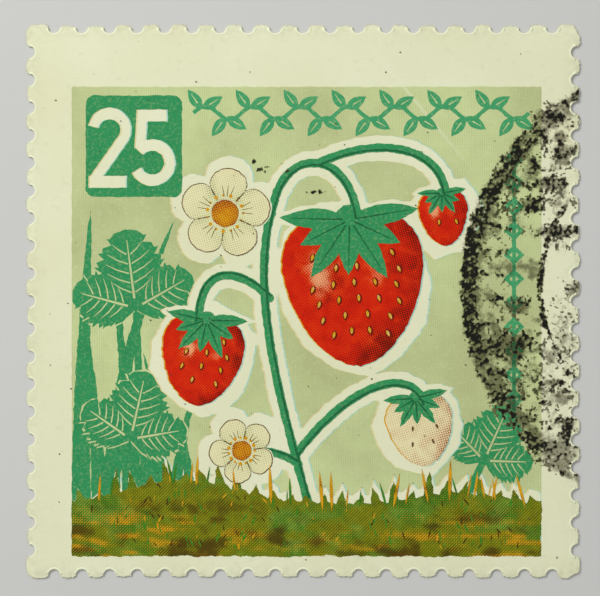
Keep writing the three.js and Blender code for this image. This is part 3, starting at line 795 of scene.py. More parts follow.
def mark_finish(settings):
    """Cancelling ink, black where it lies thick and see-through brown towards its ragged edges."""
    shader = Shader("cancelling ink", 0.72, 0.08)
    scene = bpy.context.scene
    parts = shader.parts(shader.place)
    beside = shader.math("LESS_THAN", parts[0], PANEL_RIGHT)
    below = shader.math("LESS_THAN", parts[1], PANEL_TOP)
    under = shader.blend(shader.times(beside, below), scene.stamp_sheet.paper, scene.stamp_print.tint)
    pale = shader.blend(0.88, under, settings.thin, "MULTIPLY")
    uneven = shader.span(shader.noise(4.2, 5), 0.3, 0.7, -0.55, 0.25)
    thick = shader.span(shader.plus(shader.layer("load"), uneven), 0.0, 0.55)
    return shader.finish(shader.blend(thick, pale, settings.ink), shader.noise(10, 3), 0.005)


# Geometry node trees


def geometry_tree(title, **sockets):
    """A geometry tree's nodes, its named inputs and its last node."""
    tree = bpy.data.node_groups.new(title, "GeometryNodeTree")
    tree.interface.new_socket("Geometry", in_out="INPUT", socket_type="NodeSocketGeometry")
    for label, kind in sockets.items():
        tree.interface.new_socket(label, in_out="INPUT", socket_type="NodeSocket" + kind)
    tree.interface.new_socket("Geometry", in_out="OUTPUT", socket_type="NodeSocketGeometry")
    start = tree.nodes.new("NodeGroupInput")
    end = tree.nodes.new("NodeGroupOutput")
    return Nodes(tree), {socket.name: socket for socket in start.outputs if socket.name}, end


def close_tree(nodes, end, points, motif, turn, size, material):
    """Ends a tree with copies of the motif on the points, made real and given their material."""
    inputs = {"Points": points, "Instance": motif, "Rotation": turn, "Scale": size}
    copies = nodes.add("GeometryNodeInstanceOnPoints", inputs)
    real = nodes.add("GeometryNodeRealizeInstances", {0: copies})
    done = nodes.add("GeometryNodeSetMaterial", {"Geometry": real, "Material": material})
    nodes.feed(end.inputs[0], done)
    return nodes.tree


def copies_tree():
    """Copies of one motif on given points, by the points' own turn and size."""
    nodes, given, end = geometry_tree("Copies on points", Motif="Object", Material="Material")
    motif = nodes.add("GeometryNodeObjectInfo", {0: given["Motif"]}, out=4)
    turned = nodes.add("ShaderNodeCombineXYZ", {2: nodes.stored("turn")})
    points = nodes.add("GeometryNodeMeshToPoints", {0: given["Geometry"]})
    return close_tree(nodes, end, points, motif, turned, nodes.stored("size"), given["Material"])


def scatter_tree():
    """Copies of one motif scattered over faces, with a random lean and size."""
    nodes, given, end = geometry_tree(
        "Scatter", Motif="Object", Density="Float", Seed="Int", Lean="Float", Smallest="Float",
        Largest="Float", Material="Material"
    )
    motif = nodes.add("GeometryNodeObjectInfo", {0: given["Motif"]}, out=4)
    inputs = {"Mesh": given["Geometry"], "Density": given["Density"], "Seed": given["Seed"]}
    points = nodes.add("GeometryNodeDistributePointsOnFaces", inputs)
    turn = nodes.random(nodes.times(given["Lean"], -1.0), given["Lean"], given["Seed"])
    size = nodes.random(given["Smallest"], given["Largest"], nodes.plus(given["Seed"], 50.0))
    turned = nodes.add("ShaderNodeCombineXYZ", {2: turn})
    return close_tree(nodes, end, points, motif, turned, size, given["Material"])


def fibre_tree():
    """Short bent paper fibres that stand out from the torn tips along the given edges."""
    nodes, given, end = geometry_tree(
        "Torn fibres", Spacing="Float", Length="Float", Thickness="Float", Seed="Int", Material="Material"
    )
    line = nodes.add("GeometryNodeMeshToCurve", {"Mesh": given["Geometry"]})
    inputs = {"Curve": line, "Length": given["Spacing"]}
    spread = nodes.add("GeometryNodeCurveToPoints", inputs, mode="LENGTH")
    turn = nodes.plus(nodes.stored("heading"), nodes.random(-0.9, 0.9, given["Seed"]))
    turned = nodes.add("ShaderNodeCombineXYZ", {1: nodes.random(-0.12, 0.3, 5), 2: turn})
    reach = given["Length"]
    middle = nodes.add("ShaderNodeCombineXYZ", {0: nodes.times(reach, 0.55), 1: nodes.times(reach, 0.2)})
    tip = nodes.add("ShaderNodeCombineXYZ", {0: reach})
    inputs = {"Resolution": 4, "Start": (0, 0, 0), "Middle": middle, "End": tip}
    bent = nodes.add("GeometryNodeCurveQuadraticBezier", inputs)
    ring = nodes.add("GeometryNodeCurvePrimitiveCircle", {"Resolution": 4, "Radius": given["Thickness"]})
    fibre = nodes.add("GeometryNodeCurveToMesh", {"Curve": bent, "Profile Curve": ring, "Fill Caps": True})
    return close_tree(nodes, end, spread, fibre, turned, nodes.random(0.25, 1.0, 9), given["Material"])


def grown(name, mesh, tree, **values):
    """Plain mesh that a geometry tree makes of a helper mesh; the helper is removed."""
    helper = add_object(name + " helper", mesh)
    modifier = helper.modifiers.new("Nodes", "NODES")
    modifier.node_group = tree
    for item in tree.interface.items_tree:
        if item.item_type == "SOCKET" and item.in_out == "INPUT" and item.name in values:
            modifier[item.identifier] = values[item.name]
    bpy.context.view_layer.update()
    seen = helper.evaluated_get(bpy.context.evaluated_depsgraph_get())
    result = bpy.data.meshes.new_from_object(seen)
    bpy.data.objects.remove(helper)
    result.name = name
    return result


def add_copies(name, motif, places, material):
    """A piece of copies of a motif; each place is x, y, height on a flat sheet, turn and size."""
    places = np.array(places, float)
    mesh = bpy.data.meshes.new(name)
    mesh.from_pydata((places[:, :3] * MM).tolist(), [], [])
    add_values(mesh, {"turn": places[:, 3], "size": places[:, 4]})
    motif_object = add_object(name + " motif", motif)
    tree = bpy.data.node_groups.get("Copies on points") or copies_tree()
    copies = grown(name, mesh, tree, Motif=motif_object, Material=material)
    bpy.data.objects.remove(motif_object)
    add_piece(name, settle(copies), material)


def add_scatter(name, motif, faces, density, seed, lean, sizes, material):
    """A piece of copies of a motif scattered over faces, so many to a square millimetre."""
    motif_object = add_object(name + " motif", motif)
    copies = grown(
        name, faces, scatter_tree(), Motif=motif_object, Density=density / MM**2, Seed=seed, Lean=lean,
        Smallest=sizes[0], Largest=sizes[1], Material=material
    )
    bpy.data.objects.remove(motif_object)
    add_piece(name, settle(copies), material)


def small_film(name, loop, thickness):
    """A motif about its own middle, as a thin closed film."""
    points, triangles = filled(loop, 5.0)
    return closed_mesh(name, points, triangles, 0.0, thickness)


# Outlines of the stamp's own pieces


def tooth_tips():
    """How far each tooth of each side is torn short, and how far its tip leans, as in the solids."""
    draw = even_draws(1903)
    tips, leans = [], []
    for _ in range(4):
        tips.append([TOOTH_WEAR * (0.5 + 0.5 * next(draw)) for _ in range(HOLES_PER_SIDE - 1)])
        leans.append([0.1 * next(draw) for _ in range(HOLES_PER_SIDE - 1)])
    return tips, leans


def worn(reach, end):
    """How far a tooth's edge lies inside the sheet's side, at shares of the way over its shoulder."""
    return end + (HOLE_INSET - end) * np.clip(1 - reach, 0, 1) ** 2


def sheet_outline(settings):
    """Punched and torn outline of the sheet, and which of its points are torn rather than punched."""
    wander = np.random.default_rng(19)
    rim = settings.hole_diameter / MM / 2
    ragged = settings.raggedness / MM
    tips, leans = tooth_tips()
    points, torn = [], []

    def add(line, kind):
        side_line.extend(line)
        torn.extend([kind] * len(line))

    def shoulder(middle, way):
        reach = np.linspace(1.1, 0.08, 6)[::-way]
        level = -HALF + worn(reach, 0) + wander.normal(size=6) * ragged * 0.6
        return np.column_stack((middle + way * (rim + TOOTH_ROUND * reach), level)).tolist()

    for side in range(4):
        side_line = []
        add(shoulder(-HALF + HOLE_PITCH, -1), 1)
        for i in range(1, HOLES_PER_SIDE + 1):
            middle = -HALF + i * HOLE_PITCH
            notch = arc(middle, -HALF + HOLE_INSET, rim, math.pi, 0, 14)
            notch += wander.normal(size=notch.shape) * 0.006
            add(notch.tolist(), 0)
            if i == HOLES_PER_SIDE:
                continue
            tip = middle + HOLE_PITCH / 2 + leans[side][i - 1]
            level = tips[side][i - 1]
            start, end = middle + rim, middle + HOLE_PITCH - rim
            x = start + (end - start) * np.linspace(0.03, 0.97, 19)
            reach = np.minimum(x - start, end - x) / TOOTH_ROUND
            dome = np.clip(1 - ((x - tip) / (HOLE_PITCH / 2 - rim - TOOTH_ROUND)) ** 2, 0, 1)
            y = -HALF + worn(reach, level + TOOTH_DOME) - TOOTH_DOME * dome + ragged * wander.normal(size=19)
            add(np.column_stack((x, y)).tolist(), 1)
        add(shoulder(HALF - HOLE_PITCH, 1), 1)
        if side in (2, 3):
            inner = HALF - CORNER_ROUND
            corner = arc(inner, -inner, CORNER_ROUND, -math.pi / 2, 0, 9)
        else:
            steps = np.linspace(0, 1, 9)[:, None]
            a = np.array([HALF - CORNER_SLANT, -HALF])
            b = np.array([HALF, -HALF + CORNER_SLANT * 0.55])
            corner = a + (b - a) * steps
        add((corner + wander.normal(size=corner.shape) * 0.015).tolist(), 1)
        points.append(placed(side_line, 0, 0, side * math.pi / 2))
    return np.vstack(points), np.array(torn)


def fruit_loop(fruit):
    w, h = fruit["width"] / 2, fruit["height"] / 2
    sides = [
        [(0, h * 0.86), (-w * 0.5, h * 1.12), (-w * 1.08, h * 0.9), (-w, h * 0.25)],
        [(-w, h * 0.25), (-w * 0.92, -h * 0.42), (-w * 0.42, -h), (0, -h)],
        [(0, -h), (w * 0.42, -h), (w * 0.92, -h * 0.42), (w, h * 0.25)],
        [(w, h * 0.25), (w * 1.08, h * 0.9), (w * 0.5, h * 1.12), (0, h * 0.86)],
    ]
    outline = np.vstack([bezier(side, 22)[:-1] for side in sides])
    return placed(outline, fruit["x"], fruit["y"], fruit["lean"])


def halo_loop(fruit, draw):
    corners = []
    for i in range(13):
        angle = FULL_TURN * i / 13
        spread = HALO * (1.15 + HALO_UNEVENNESS * next(draw))
        narrow = 1 - 0.16 * max(0, -math.sin(angle)) * abs(math.cos(angle))
        reach_x = (fruit["width"] / 2 + spread) * narrow
        reach_y = (fruit["height"] / 2 + spread) * narrow
        corners.append((reach_x * math.cos(angle), reach_y * math.sin(angle)))
    return placed(corners, fruit["x"], fruit["y"], fruit["lean"])


def seed_places(fruit):
    """Seeds in staggered rows: place in the fruit's own frame."""
    places = []
    for row in range(fruit["rows"]):
        level = 0.52 - 1.26 * row / fruit["rows"]
        half_row = fruit["width"] / 2 * math.sqrt(1 - (level - 0.2) ** 2) * 0.84
        count = max(2, int(2 * half_row / 1.35 + 0.5))
        for i in range(count):
            across = (i + 0.5 + (row % 2) * 0.18) / count * 2 - 1
            places.append((across * half_row * 0.9, (level - 0.1 * across**2) * fruit["height"] / 2, across))
    return places


def bowed(foot, middle, tip, steps):
    """Points along a plain bend from foot to tip."""
    foot, middle, tip = (np.array(p, float) for p in (foot, middle, tip))
    s = np.linspace(0, 1, steps + 1)[:, None]
    return foot * (1 - s) ** 2 + 2 * middle * s * (1 - s) + tip * s**2


def pointed_leaf(size, width):
    upper = bowed((0, 0), (size * 0.42, width), (size, 0), 9)
    lower = upper[::-1] * (1, -1)
    return np.vstack((upper[:-1], lower[:-1]))


def sepal_loops(fruit, grow=0.0):
    top = fruit["height"] * FRUIT_TOP
    x = fruit["x"] - top * math.sin(fruit["lean"])
    y = fruit["y"] + top * math.cos(fruit["lean"])
    reach = fruit["width"] * SEPAL_REACH
    loops = []
    for i, heading in enumerate(SEPAL_HEADINGS):
        size = reach * (1 if i % 2 == 0 else 0.8) + grow
        sepal = pointed_leaf(size, reach * 0.3 + grow)
        loops.append(placed(sepal, x, y, heading * math.pi + fruit["lean"]))
    loops.append(arc(x, y, reach * 0.22, 0, FULL_TURN * 0.95, 18))
    return loops


def blossom_loop(blossom, grow=0.0, steps=120):
    angles = np.arange(steps) * FULL_TURN / steps
    reach = blossom["radius"] * (0.66 + 0.34 * np.abs(np.cos(2.5 * angles)) ** 0.6) + grow
    loop = np.column_stack((reach * np.cos(angles), reach * np.sin(angles)))
    return placed(loop, blossom["x"], blossom["y"], blossom["turn"])


def leaflet_loop(size, width, grow=0.0):
    """Toothed leaflet from its foot along +X; its teeth curve towards the tip."""
    def half(s):
        return width / 2 * math.sin(math.pi * s**0.85) ** 0.75 + grow

    upper = []
    for i in range(1, LEAF_TEETH):
        s = i / LEAF_TEETH
        upper.append((size * (s - 0.02), half(s) * 0.86))
        upper.append((size * (s + 0.02), half(s) * 0.94 + 0.03))
        upper.append((size * (s + 0.07), half(s) + 0.12))
        upper.append((size * (s + 0.065), half(s) * 0.92))
        upper.append((size * (s + 0.125), half(min(s + 0.08, 0.99)) + 0.04))
    lower = [(x, -y) for x, y in reversed(upper)]
    return np.array([(0, 0.12 + grow), *upper, (size + grow, 0), *lower, (0, -0.12 - grow)])


def vein_loops(size, width):
    veins = [strip([(size * 0.12, 0), (size * 0.5, 0), (size * 0.86, 0)], np.array([0.15, 0.12, 0.05]))]
    for side in (-1, 1):
        for s in (0.2, 0.32, 0.44, 0.56, 0.68):
            reach = width * 0.36 * math.sin(math.pi * min(s + 0.1, 0.8))
            path = [(0, 0.12), (0.06, reach * 0.55), (0.15, reach)]
            line = [(size * (s + along), side * away) for along, away in path]
            veins.append(strip(line, np.array([0.09, 0.08, 0.03])))
    return veins


def leaf_loops(leaf, grow=0.0):
    """Leaflets, veins and stalk of a three-part leaf."""
    blades, veins = [], []
    for scale, turn in ((1, 0), (0.82, 1.18), (0.82, -1.18)):
        size, width = leaf["length"] * scale, leaf["width"] * scale
        heading = leaf["heading"] + turn
        blades.append(placed(leaflet_loop(size, width, grow), leaf["x"], leaf["y"], heading))
        veins += [placed(v, leaf["x"], leaf["y"], heading) for v in vein_loops(size, width)]
    line = bowed(*leaf["stalk"], (leaf["x"], leaf["y"]), 24)
    return blades, veins, strip(line, 0.42 + 2 * grow)


def blade_loop(foot, tip, height, width):
    s = np.linspace(0, 1, 22)
    x = foot + (tip - foot) * s * s
    y = PANEL_BOTTOM + GROUND_HEIGHT - 0.6 + height * s
    half = width / 2 * (1 - s) ** 0.6
    return np.vstack((np.column_stack((x - half, y)), np.column_stack((x + half, y))[::-1]))


def ground_level(x):
    rise = sum(h * np.exp(-(((x - m) / r) ** 2)) for m, h, r in GROUND_MOUNDS)
    return PANEL_BOTTOM + GROUND_HEIGHT + rise


def ground_loop(grow=0.0):
    draw = even_draws(77)
    past = 0.02 if grow > 0 else 0.0
    left, right, bottom = PANEL_LEFT - past, PANEL_RIGHT + past, PANEL_BOTTOM - past
    step = (PANEL_RIGHT - PANEL_LEFT) / GRASS_BLADES
    half = (step + grow) * 0.3
    points = [(left, bottom), (right, bottom), (right, ground_level(right) + grow)]
    for i in reversed(range(GRASS_BLADES)):
        x = PANEL_LEFT + (i + 0.5) * step
        tip = 0.9 + 0.6 * next(draw)
        lean = 0.3 * next(draw)
        level = ground_level(x) + grow
        points += [(x + half, level), (x + lean, level + tip), (x - half, level - 0.1)]
    points.append((left, ground_level(left) + grow))
    return np.array(points)


def numeral_loops():
    bowl = arc(-11.65, 10.35, 0.98, math.pi * 0.95, -math.pi * 0.18, 26)
    lines = [
        np.vstack((bowl, [(-12.62, 7.28), (-12.62, 7.27)])),
        [(-12.95, 7.2), (-10.6, 7.2)],
        [(-8.15, 11.2), (-10.02, 11.2)],
        [(-9.68, 11.5), (-9.82, 9.2)],
        arc(-9.08, 8.36, 1.06, math.pi * 0.78, -math.pi * 0.86, 30),
    ]
    return [strip(line, NUMERAL_STROKE) for line in lines]


def panel_loop():
    left, right, bottom, top = PANEL_LEFT, PANEL_RIGHT, PANEL_BOTTOM, PANEL_TOP
    return np.array([(left, bottom), (right, bottom), (right, top), (left, top)])


def halo_loops():
    """White of the picture round the fruits, blossoms and stems."""
    draw = even_draws(411)
    loops = [halo_loop(fruit, draw) for fruit in FRUITS.values()]
    loops += [loop for fruit in FRUITS.values() for loop in sepal_loops(fruit, SEPAL_WHITE)]
    loops += [blossom_loop(blossom, HALO, 50) for blossom in BLOSSOMS.values()]
    loops += [strip(bezier(stem, 8), STEM_WIDTH + 1.4 * HALO) for stem in STEMS]
    return loops


def rough_set(loops, seed, amount=0.014):
    return [roughened(loop, seed + i, amount) for i, loop in enumerate(loops)]


# Pieces


def make_paper(settings):
    outline, _ = sheet_outline(settings)
    points, triangles = filled(outline, 0.55)
    x, y = points[:, 0], points[:, 1]
    rim = HALF - np.maximum(np.abs(x), np.abs(y))
    feather = 0.25 * np.clip(1 - rim / 0.28, 0, 1) * PAPER
    base = lift(x, y)
    wear = np.clip(1 - rim / 1.1, 0, 1)
    printed = inside(points, [panel_loop()]).astype(float)
    values = {"wear": wear, "printed": printed}
    mesh = closed_mesh("paper_sheet", points, triangles, base + feather, base + PAPER - feather, values)
    add_piece("paper_sheet", mesh, paper_finish(settings), ["stamp_paper"])


def rim_motif(settings):
    """Low ridge round one hole, with its middle at the origin and the paper on its upper side."""
    inner = settings.hole_diameter / MM / 2 + 0.005
    angles = np.linspace(math.pi * 0.95, math.pi * 0.05, 15)
    high = settings.rim_height / MM
    corners = []
    for i, angle in enumerate(angles):
        swell = math.sin(math.pi * i / (len(angles) - 1)) ** 0.6
        section = [(0.0, -0.02), (0.0, high * 0.4 * swell - 0.004), (0.035, high * swell - 0.002)]
        section += [(0.09, high * 0.4 * swell - 0.003), (0.16, -0.006), (0.16, -0.02)]
        for out, z in section:
            reach = (inner + out) * MM
            corners.append((reach * math.cos(angle), reach * math.sin(angle), z * MM))
    wide = len(section)
    faces = [tuple(range(wide)), tuple(range(len(corners) - 1, len(corners) - 1 - wide, -1))]
    for i in range(len(angles) - 1):
        for k in range(wide):
            a, b = i * wide + k, i * wide + (k + 1) % wide
            faces.append((b, a, a + wide, b + wide))
    mesh = bpy.data.meshes.new("rim")
    mesh.from_pydata(corners, [], faces)
    mesh.shade_smooth()
    return mesh


def make_rims(settings):
    """Paper pressed up round the holes, as copies of one ridge."""
    draws = np.random.default_rng(67)
    places = []
    for side in range(4):
        for i in range(1, HOLES_PER_SIDE + 1):
            x, y = placed([(-HALF + i * HOLE_PITCH, -HALF + HOLE_INSET)], 0, 0, side * math.pi / 2)[0]
            places.append((x, y, PAPER, side * math.pi / 2 + draws.normal() * 0.05, 1.0))
    add_copies("pressed_rims", rim_motif(settings), places, rim_highlight_finish(settings))


def make_fibres(settings):
    outline, torn = sheet_outline(settings)
    ahead = np.roll(torn, -1)
    edges, corners, headings = [], [], []
    for i in np.flatnonzero((torn > 0) & (ahead > 0)):
        a, b = outline[i], outline[(i + 1) % len(outline)]
        edges.append((len(corners), len(corners) + 1))
        corners += [(x * MM, y * MM, PAPER * 0.5 * MM) for x, y in (a, b)]
        headings += [math.atan2(a[0] - b[0], b[1] - a[1])] * 2
    mesh = bpy.data.meshes.new("fibre places")
    mesh.from_pydata(corners, edges, [])
    add_values(mesh, {"heading": headings})
    shader = Shader("paper fibres", 0.9, 0.2)
    cloud = shader.span(shader.noise(3.0), 0.3, 0.7)
    material = shader.finish(shader.blend(cloud, settings.paper, settings.aged))
    fibres = grown(
        "paper_fibres", mesh, fibre_tree(), Spacing=HOLE_PITCH * MM / max(1, settings.fibres) * 0.4,
        Length=settings.fibre_length, Thickness=0.006 * MM, Seed=3, Material=material
    )
    add_piece("paper_fibres", settle(fibres), material)


def make_tint(settings):
    """Tint with the white left open, and thin edges of the first yellow and blue in the white."""
    whites = rough_set([*halo_loops(), ground_loop(GROUND_HALO)], 100, 0.02)
    numerals = rough_set(numeral_loops(), 160, 0.01)
    panel = roughened(panel_loop(), 90, 0.012)
    shape = without([panel], whites + numerals)
    add_film("tint_ink", shape, TOP_TINT, tint_finish(settings), TINT_NODES)
    sheet = bpy.context.scene.stamp_sheet
    for part, colour, way in (("yellow", settings.straw, 1), ("blue", settings.sky, -1)):
        ink = solid_ink(f"{part} edge", colour, sheet.paper, 0.7)
        moved = [loop + (way * settings.misfit / MM, 0) for loop in whites + numerals]
        shape = without(whites + numerals, moved, panel)
        add_film(f"first_{part}_edges", shape, TOP_FRINGE, ink)


def fruit_inks(name, fruit, points):
    """Cover of the main and dark ink on a fruit: thin where it gleams, dark where it turns away."""
    local = placed(points - (fruit["x"], fruit["y"]), 0, 0, -fruit["lean"])
    u, v = local[:, 0] / (fruit["width"] / 2), local[:, 1] / (fruit["height"] / 2)
    bend = soft_noise(points[:, 0], points[:, 1], fruit["width"] / 5, 230 + fruit["rows"], 3) - 0.5
    folds = np.clip(bend, 0, 1)
    turned = np.clip(u * 0.6 - v * 0.28 + 0.62 * (u**2 + v**2) - 0.36 + 0.5 * bend, 0, 1)
    if name == "unripe":
        return {"cover": 0.1 + 0.5 * turned + 0.3 * folds, "shade": 0.04 + 0.5 * turned}
    gleam = np.exp(-(((u + 0.38 + 0.5 * bend) / 0.24) ** 2) - ((v - 0.26) / 0.36) ** 2)
    glint = np.exp(-(((u - 0.34) / 0.17) ** 2) - ((v - 0.2 + 0.6 * bend) / 0.26) ** 2)
    low_glow = np.exp(-(((u + 0.1) / 0.5) ** 2) - ((v + 0.62) / 0.16) ** 2)
    cover = 1.12 - 0.9 * gleam - 0.5 * glint - 0.16 * low_glow - 0.3 * np.abs(bend)
    return {"cover": cover, "shade": 0.04 + 0.72 * turned + 0.7 * folds}


def make_fruits(settings):
    """Fruits in halftone, each over a first yellow and a first blue that show at its edges."""
    tones = (settings.glow, settings.red, settings.shadow)
    red = halftone_ink("fruit red", settings, *tones, 0.3, settings.flame)
    pale = halftone_ink("unripe cream", settings, settings.cream, settings.glow, settings.speck, 0.24)
    yellow = solid_ink("first yellow", settings.ochre, settings.cream, 0.5)
    blue = solid_ink("first blue", settings.sky, settings.cream, 0.5)
    shift = settings.misfit / MM
    for name, fruit in FRUITS.items():
        loop = roughened(fruit_loop(fruit), 200 + fruit["rows"], 0.02)
        shape = filled(loop, 0.2)
        material, slot = (pale, "cream_ink") if name == "unripe" else (red, "red_ink")
        values = fruit_inks(name, fruit, shape[0])
        add_film(f"fruit_{name}_ink", shape, TOP_PRINT, material, [f"fruit_{name}"], values)
        for part, first, ink, way in (("yellow", yellow, "ochre_ink", -1), ("blue", blue, "green_ink", 1)):
            shape = filled(loop + (way * shift, -way * shift * 0.2))
            add_film(f"fruit_{name}_first_{part}", shape, TOP_FRINGE + 0.001 * way, first)


def make_seeds(settings):
    """Seeds and the dark hollows that they lie in, as copies on each fruit."""
    seed_loop = placed(pointed_leaf(SEED_LENGTH, 0.17), 0, SEED_LENGTH * 0.5, -math.pi / 2)
    hollow_loop = placed(pointed_leaf(SEED_LENGTH * 1.45, 0.34), 0.03, SEED_LENGTH * 0.66, -math.pi / 2)
    seed, hollow = small_film("seed", seed_loop, 0.006), small_film("hollow", hollow_loop, 0.003)
    yellow = solid_ink("seed yellow", settings.ochre, settings.cream, 0.6)
    dark = solid_ink("hollow red", settings.shadow, settings.red, 0.5)
    brown = solid_ink("seed brown", settings.speck, settings.cream, 0.4)
    for name, fruit in FRUITS.items():
        scale = 0.7 + 0.04 * fruit["width"]
        places = []
        for x, y, across in seed_places(fruit):
            px, py = placed([(x, y)], fruit["x"], fruit["y"], fruit["lean"])[0]
            if not inside(np.array([(px, py)]), sepal_loops(fruit, 0.12))[0]:
                places.append((px, py, PAPER + TOP_PRINT - 0.001, fruit["lean"] + 0.45 * across, scale))
        if name != "unripe":
            add_copies(f"fruit_{name}_hollows", hollow, places, dark)
        places = [(x, y, z + 0.003, turn, size) for x, y, z, turn, size in places]
        add_copies(f"fruit_{name}_seeds", seed, places, brown if name == "unripe" else yellow)


def make_stems(settings):
    green = solid_ink("stem green", settings.green, settings.tint, 0.22)
    stems = [strip(bezier(stem, 40), STEM_WIDTH) for stem in STEMS]
    stems += [arc(*stem[0], STEM_WIDTH * 0.49, 0, FULL_TURN * 0.95, 16) for stem in STEMS[1:]]
    sepals = [loop for fruit in FRUITS.values() for loop in sepal_loops(fruit)]
    gaps = [blossom_loop(blossom, BLOSSOM_GAP) for blossom in BLOSSOMS.values()] + [ground_loop()]
    shape = without(rough_set(stems + sepals, 300), rough_set(gaps, 340, 0.008), spacing=0.5)
    add_film("stems_ink", shape, TOP_DETAIL, green, ["fruit_stems"])
    shade = solid_ink("stem shade", deeper(settings.green, 0.45), settings.green, 0.6)
    lines = [strip(bezier(stem, 40), 0.13, -0.13) for stem in STEMS]
    for fruit in FRUITS.values():
        for loop in sepal_loops(fruit)[:-1]:
            foot, tip = loop[0], loop[9]
            line = [foot + (tip - foot) * s for s in (0.1, 0.5, 0.85)]
            lines.append(strip(line, np.array([0.1, 0.08, 0.03])))
    shape = without(rough_set(lines, 380, 0.006), rough_set(gaps, 340, 0.008), spacing=0.5)
    add_film("stem_shades", shape, TOP_DETAIL + 0.004, shade)


def make_leaves(settings):
    green = solid_ink("leaf green", settings.green, settings.tint, 0.22)
    panel = roughened(panel_loop(), 90, 0.012)
    whites = rough_set(halo_loops(), 100, 0.02) + [ground_loop()]
    sets = [leaf_loops(leaf) for leaf in LEAVES_LEFT]
    keep_off = [loop for leaf in LEAVES_LEFT for loop in leaf_loops(leaf, 0.13)[0]]
    leaves = rough_set([loop for blades, _, _ in sets for loop in blades], 400)
    veins = [loop for _, group, _ in sets for loop in group]
    shape = without(leaves, whites + veins, panel, 0.5)
    add_film("leaves_left_ink", shape, TOP_PRINT, green, ["leaves_left"])
    stalks = rough_set([stalk for _, _, stalk in sets], 430)
    blades = rough_set([blade_loop(*blade) for blade in TALL_BLADES], 440, 0.02)
    shape = without(blades + stalks, whites + keep_off, panel, 0.5)
    add_film("tall_blades_ink", shape, TOP_PRINT - 0.002, green)
    blades, veins, stalk = leaf_loops(LEAF_RIGHT)
    shape = without(rough_set([*blades, stalk], 470), whites + veins, panel, 0.5)
    add_film("leaf_right_ink", shape, TOP_PRINT, green, ["leaf_right"])


def make_tablet(settings):
    left, right, bottom, top = (TABLET[key] for key in ("left", "right", "bottom", "top"))
    r = TABLET["round"]
    quarter = math.pi / 2
    corners = [(right - r, top - r), (left + r, top - r), (left + r, bottom + r), (right - r, bottom + r)]
    loop = np.vstack([arc(x, y, r, i * quarter, (i + 1) * quarter, 8) for i, (x, y) in enumerate(corners)])
    green = solid_ink("tablet green", settings.green, settings.tint, 0.22)
    numerals = rough_set(numeral_loops(), 160, 0.01)
    shape = without([roughened(loop, 500)], numerals)
    add_film("tablet_ink", shape, TOP_PRINT, green, ["value_tablet"])


def make_heading(green):
    """Running line in the heading, with leaves on both its sides."""
    left, right, y = HEADING["left"], HEADING["right"], HEADING["y"]
    waves, wave = HEADING["waves"], HEADING["wave"]
    s = np.linspace(0, 1, waves * 24 + 1)
    line = np.column_stack((left + (right - left) * s, y + wave * np.sin(FULL_TURN * waves * s)))
    shape = filled(roughened(strip(line, HEADING["line"]), 600, 0.01))
    add_film("heading_line_ink", shape, TOP_PRINT, green, ["heading_ornament"])
    leaf = roughened(pointed_leaf(HEADING["leaf"], HEADING["leaf"] * 0.46), 610, 0.012)
    rib = strip([(HEADING["leaf"] * 0.3, 0), (HEADING["leaf"] * 0.78, 0)], np.array([0.09, 0.03]))
    leaf_mesh = closed_mesh("heading leaf", *without([leaf], [rib]), -0.012, 0.0)
    places = []
    for i in range(waves * 2):
        x = left + (right - left) * (i + 0.35) / (waves * 2)
        up = 1 if i % 2 == 0 else -1
        level = y + up * wave * 0.55
        places += [(x, level, PAPER + TOP_PRINT - 0.0015, up * heading, 1.0) for heading in (0.55, 2.2)]
    add_copies("heading_leaves_ink", leaf_mesh, places, green)


def make_side_column(green):
    """Lozenges on a thread down the right side."""
    x, top, bottom = SIDE_COLUMN["x"], SIDE_COLUMN["top"], SIDE_COLUMN["bottom"]
    pitch = (top - bottom) / SIDE_COLUMN["count"]
    shape = filled(roughened(strip([(x, top), (x, bottom)], SIDE_COLUMN["line"]), 620, 0.01))
    add_film("side_thread_ink", shape, TOP_PRINT, green, ["side_ornament"])
    half, tall = SIDE_COLUMN["width"] / 2, pitch * 0.4
    lozenge = np.array([(half, 0), (0, tall), (-half, 0), (0, -tall)])
    shape = without([roughened(lozenge, 630, 0.012)], [lozenge * 0.45])
    lozenge_mesh = closed_mesh("lozenge", *shape, -0.012, 0.0)
    levels = [top - pitch * (i + 0.5) for i in range(SIDE_COLUMN["count"])]
    places = [(x, level, PAPER + TOP_PRINT - 0.0015, 0.0, 1.0) for level in levels]
    add_copies("side_lozenges_ink", lozenge_mesh, places, green)


def make_ornaments(settings):
    green = solid_ink("ornament green", settings.ornament, settings.tint, 0.25, under_mark=True)
    make_heading(green)
    make_side_column(green)


def petal_lines(blossom, heart):
    """Seams between the petals, and three fine lines on each petal."""
    x, y, radius = blossom["x"], blossom["y"], blossom["radius"]
    lines = []
    for k in range(5):
        seam = blossom["turn"] + FULL_TURN * (k + 0.5) / 5
        ends = (heart + 0.12, radius * 0.62)
        lines.append(strip([(x + r * math.cos(seam), y + r * math.sin(seam)) for r in ends], 0.07))
        for spread in (-0.22, 0.0, 0.22):
            r = np.linspace(heart + 0.2, radius * 0.62, 4)
            angle = blossom["turn"] + FULL_TURN * k / 5 + spread * (0.4 + r / radius)
            path = np.column_stack((x + r * np.cos(angle), y + r * np.sin(angle)))
            lines.append(strip(path, np.array([0.05, 0.04, 0.035, 0.02])))
    return lines


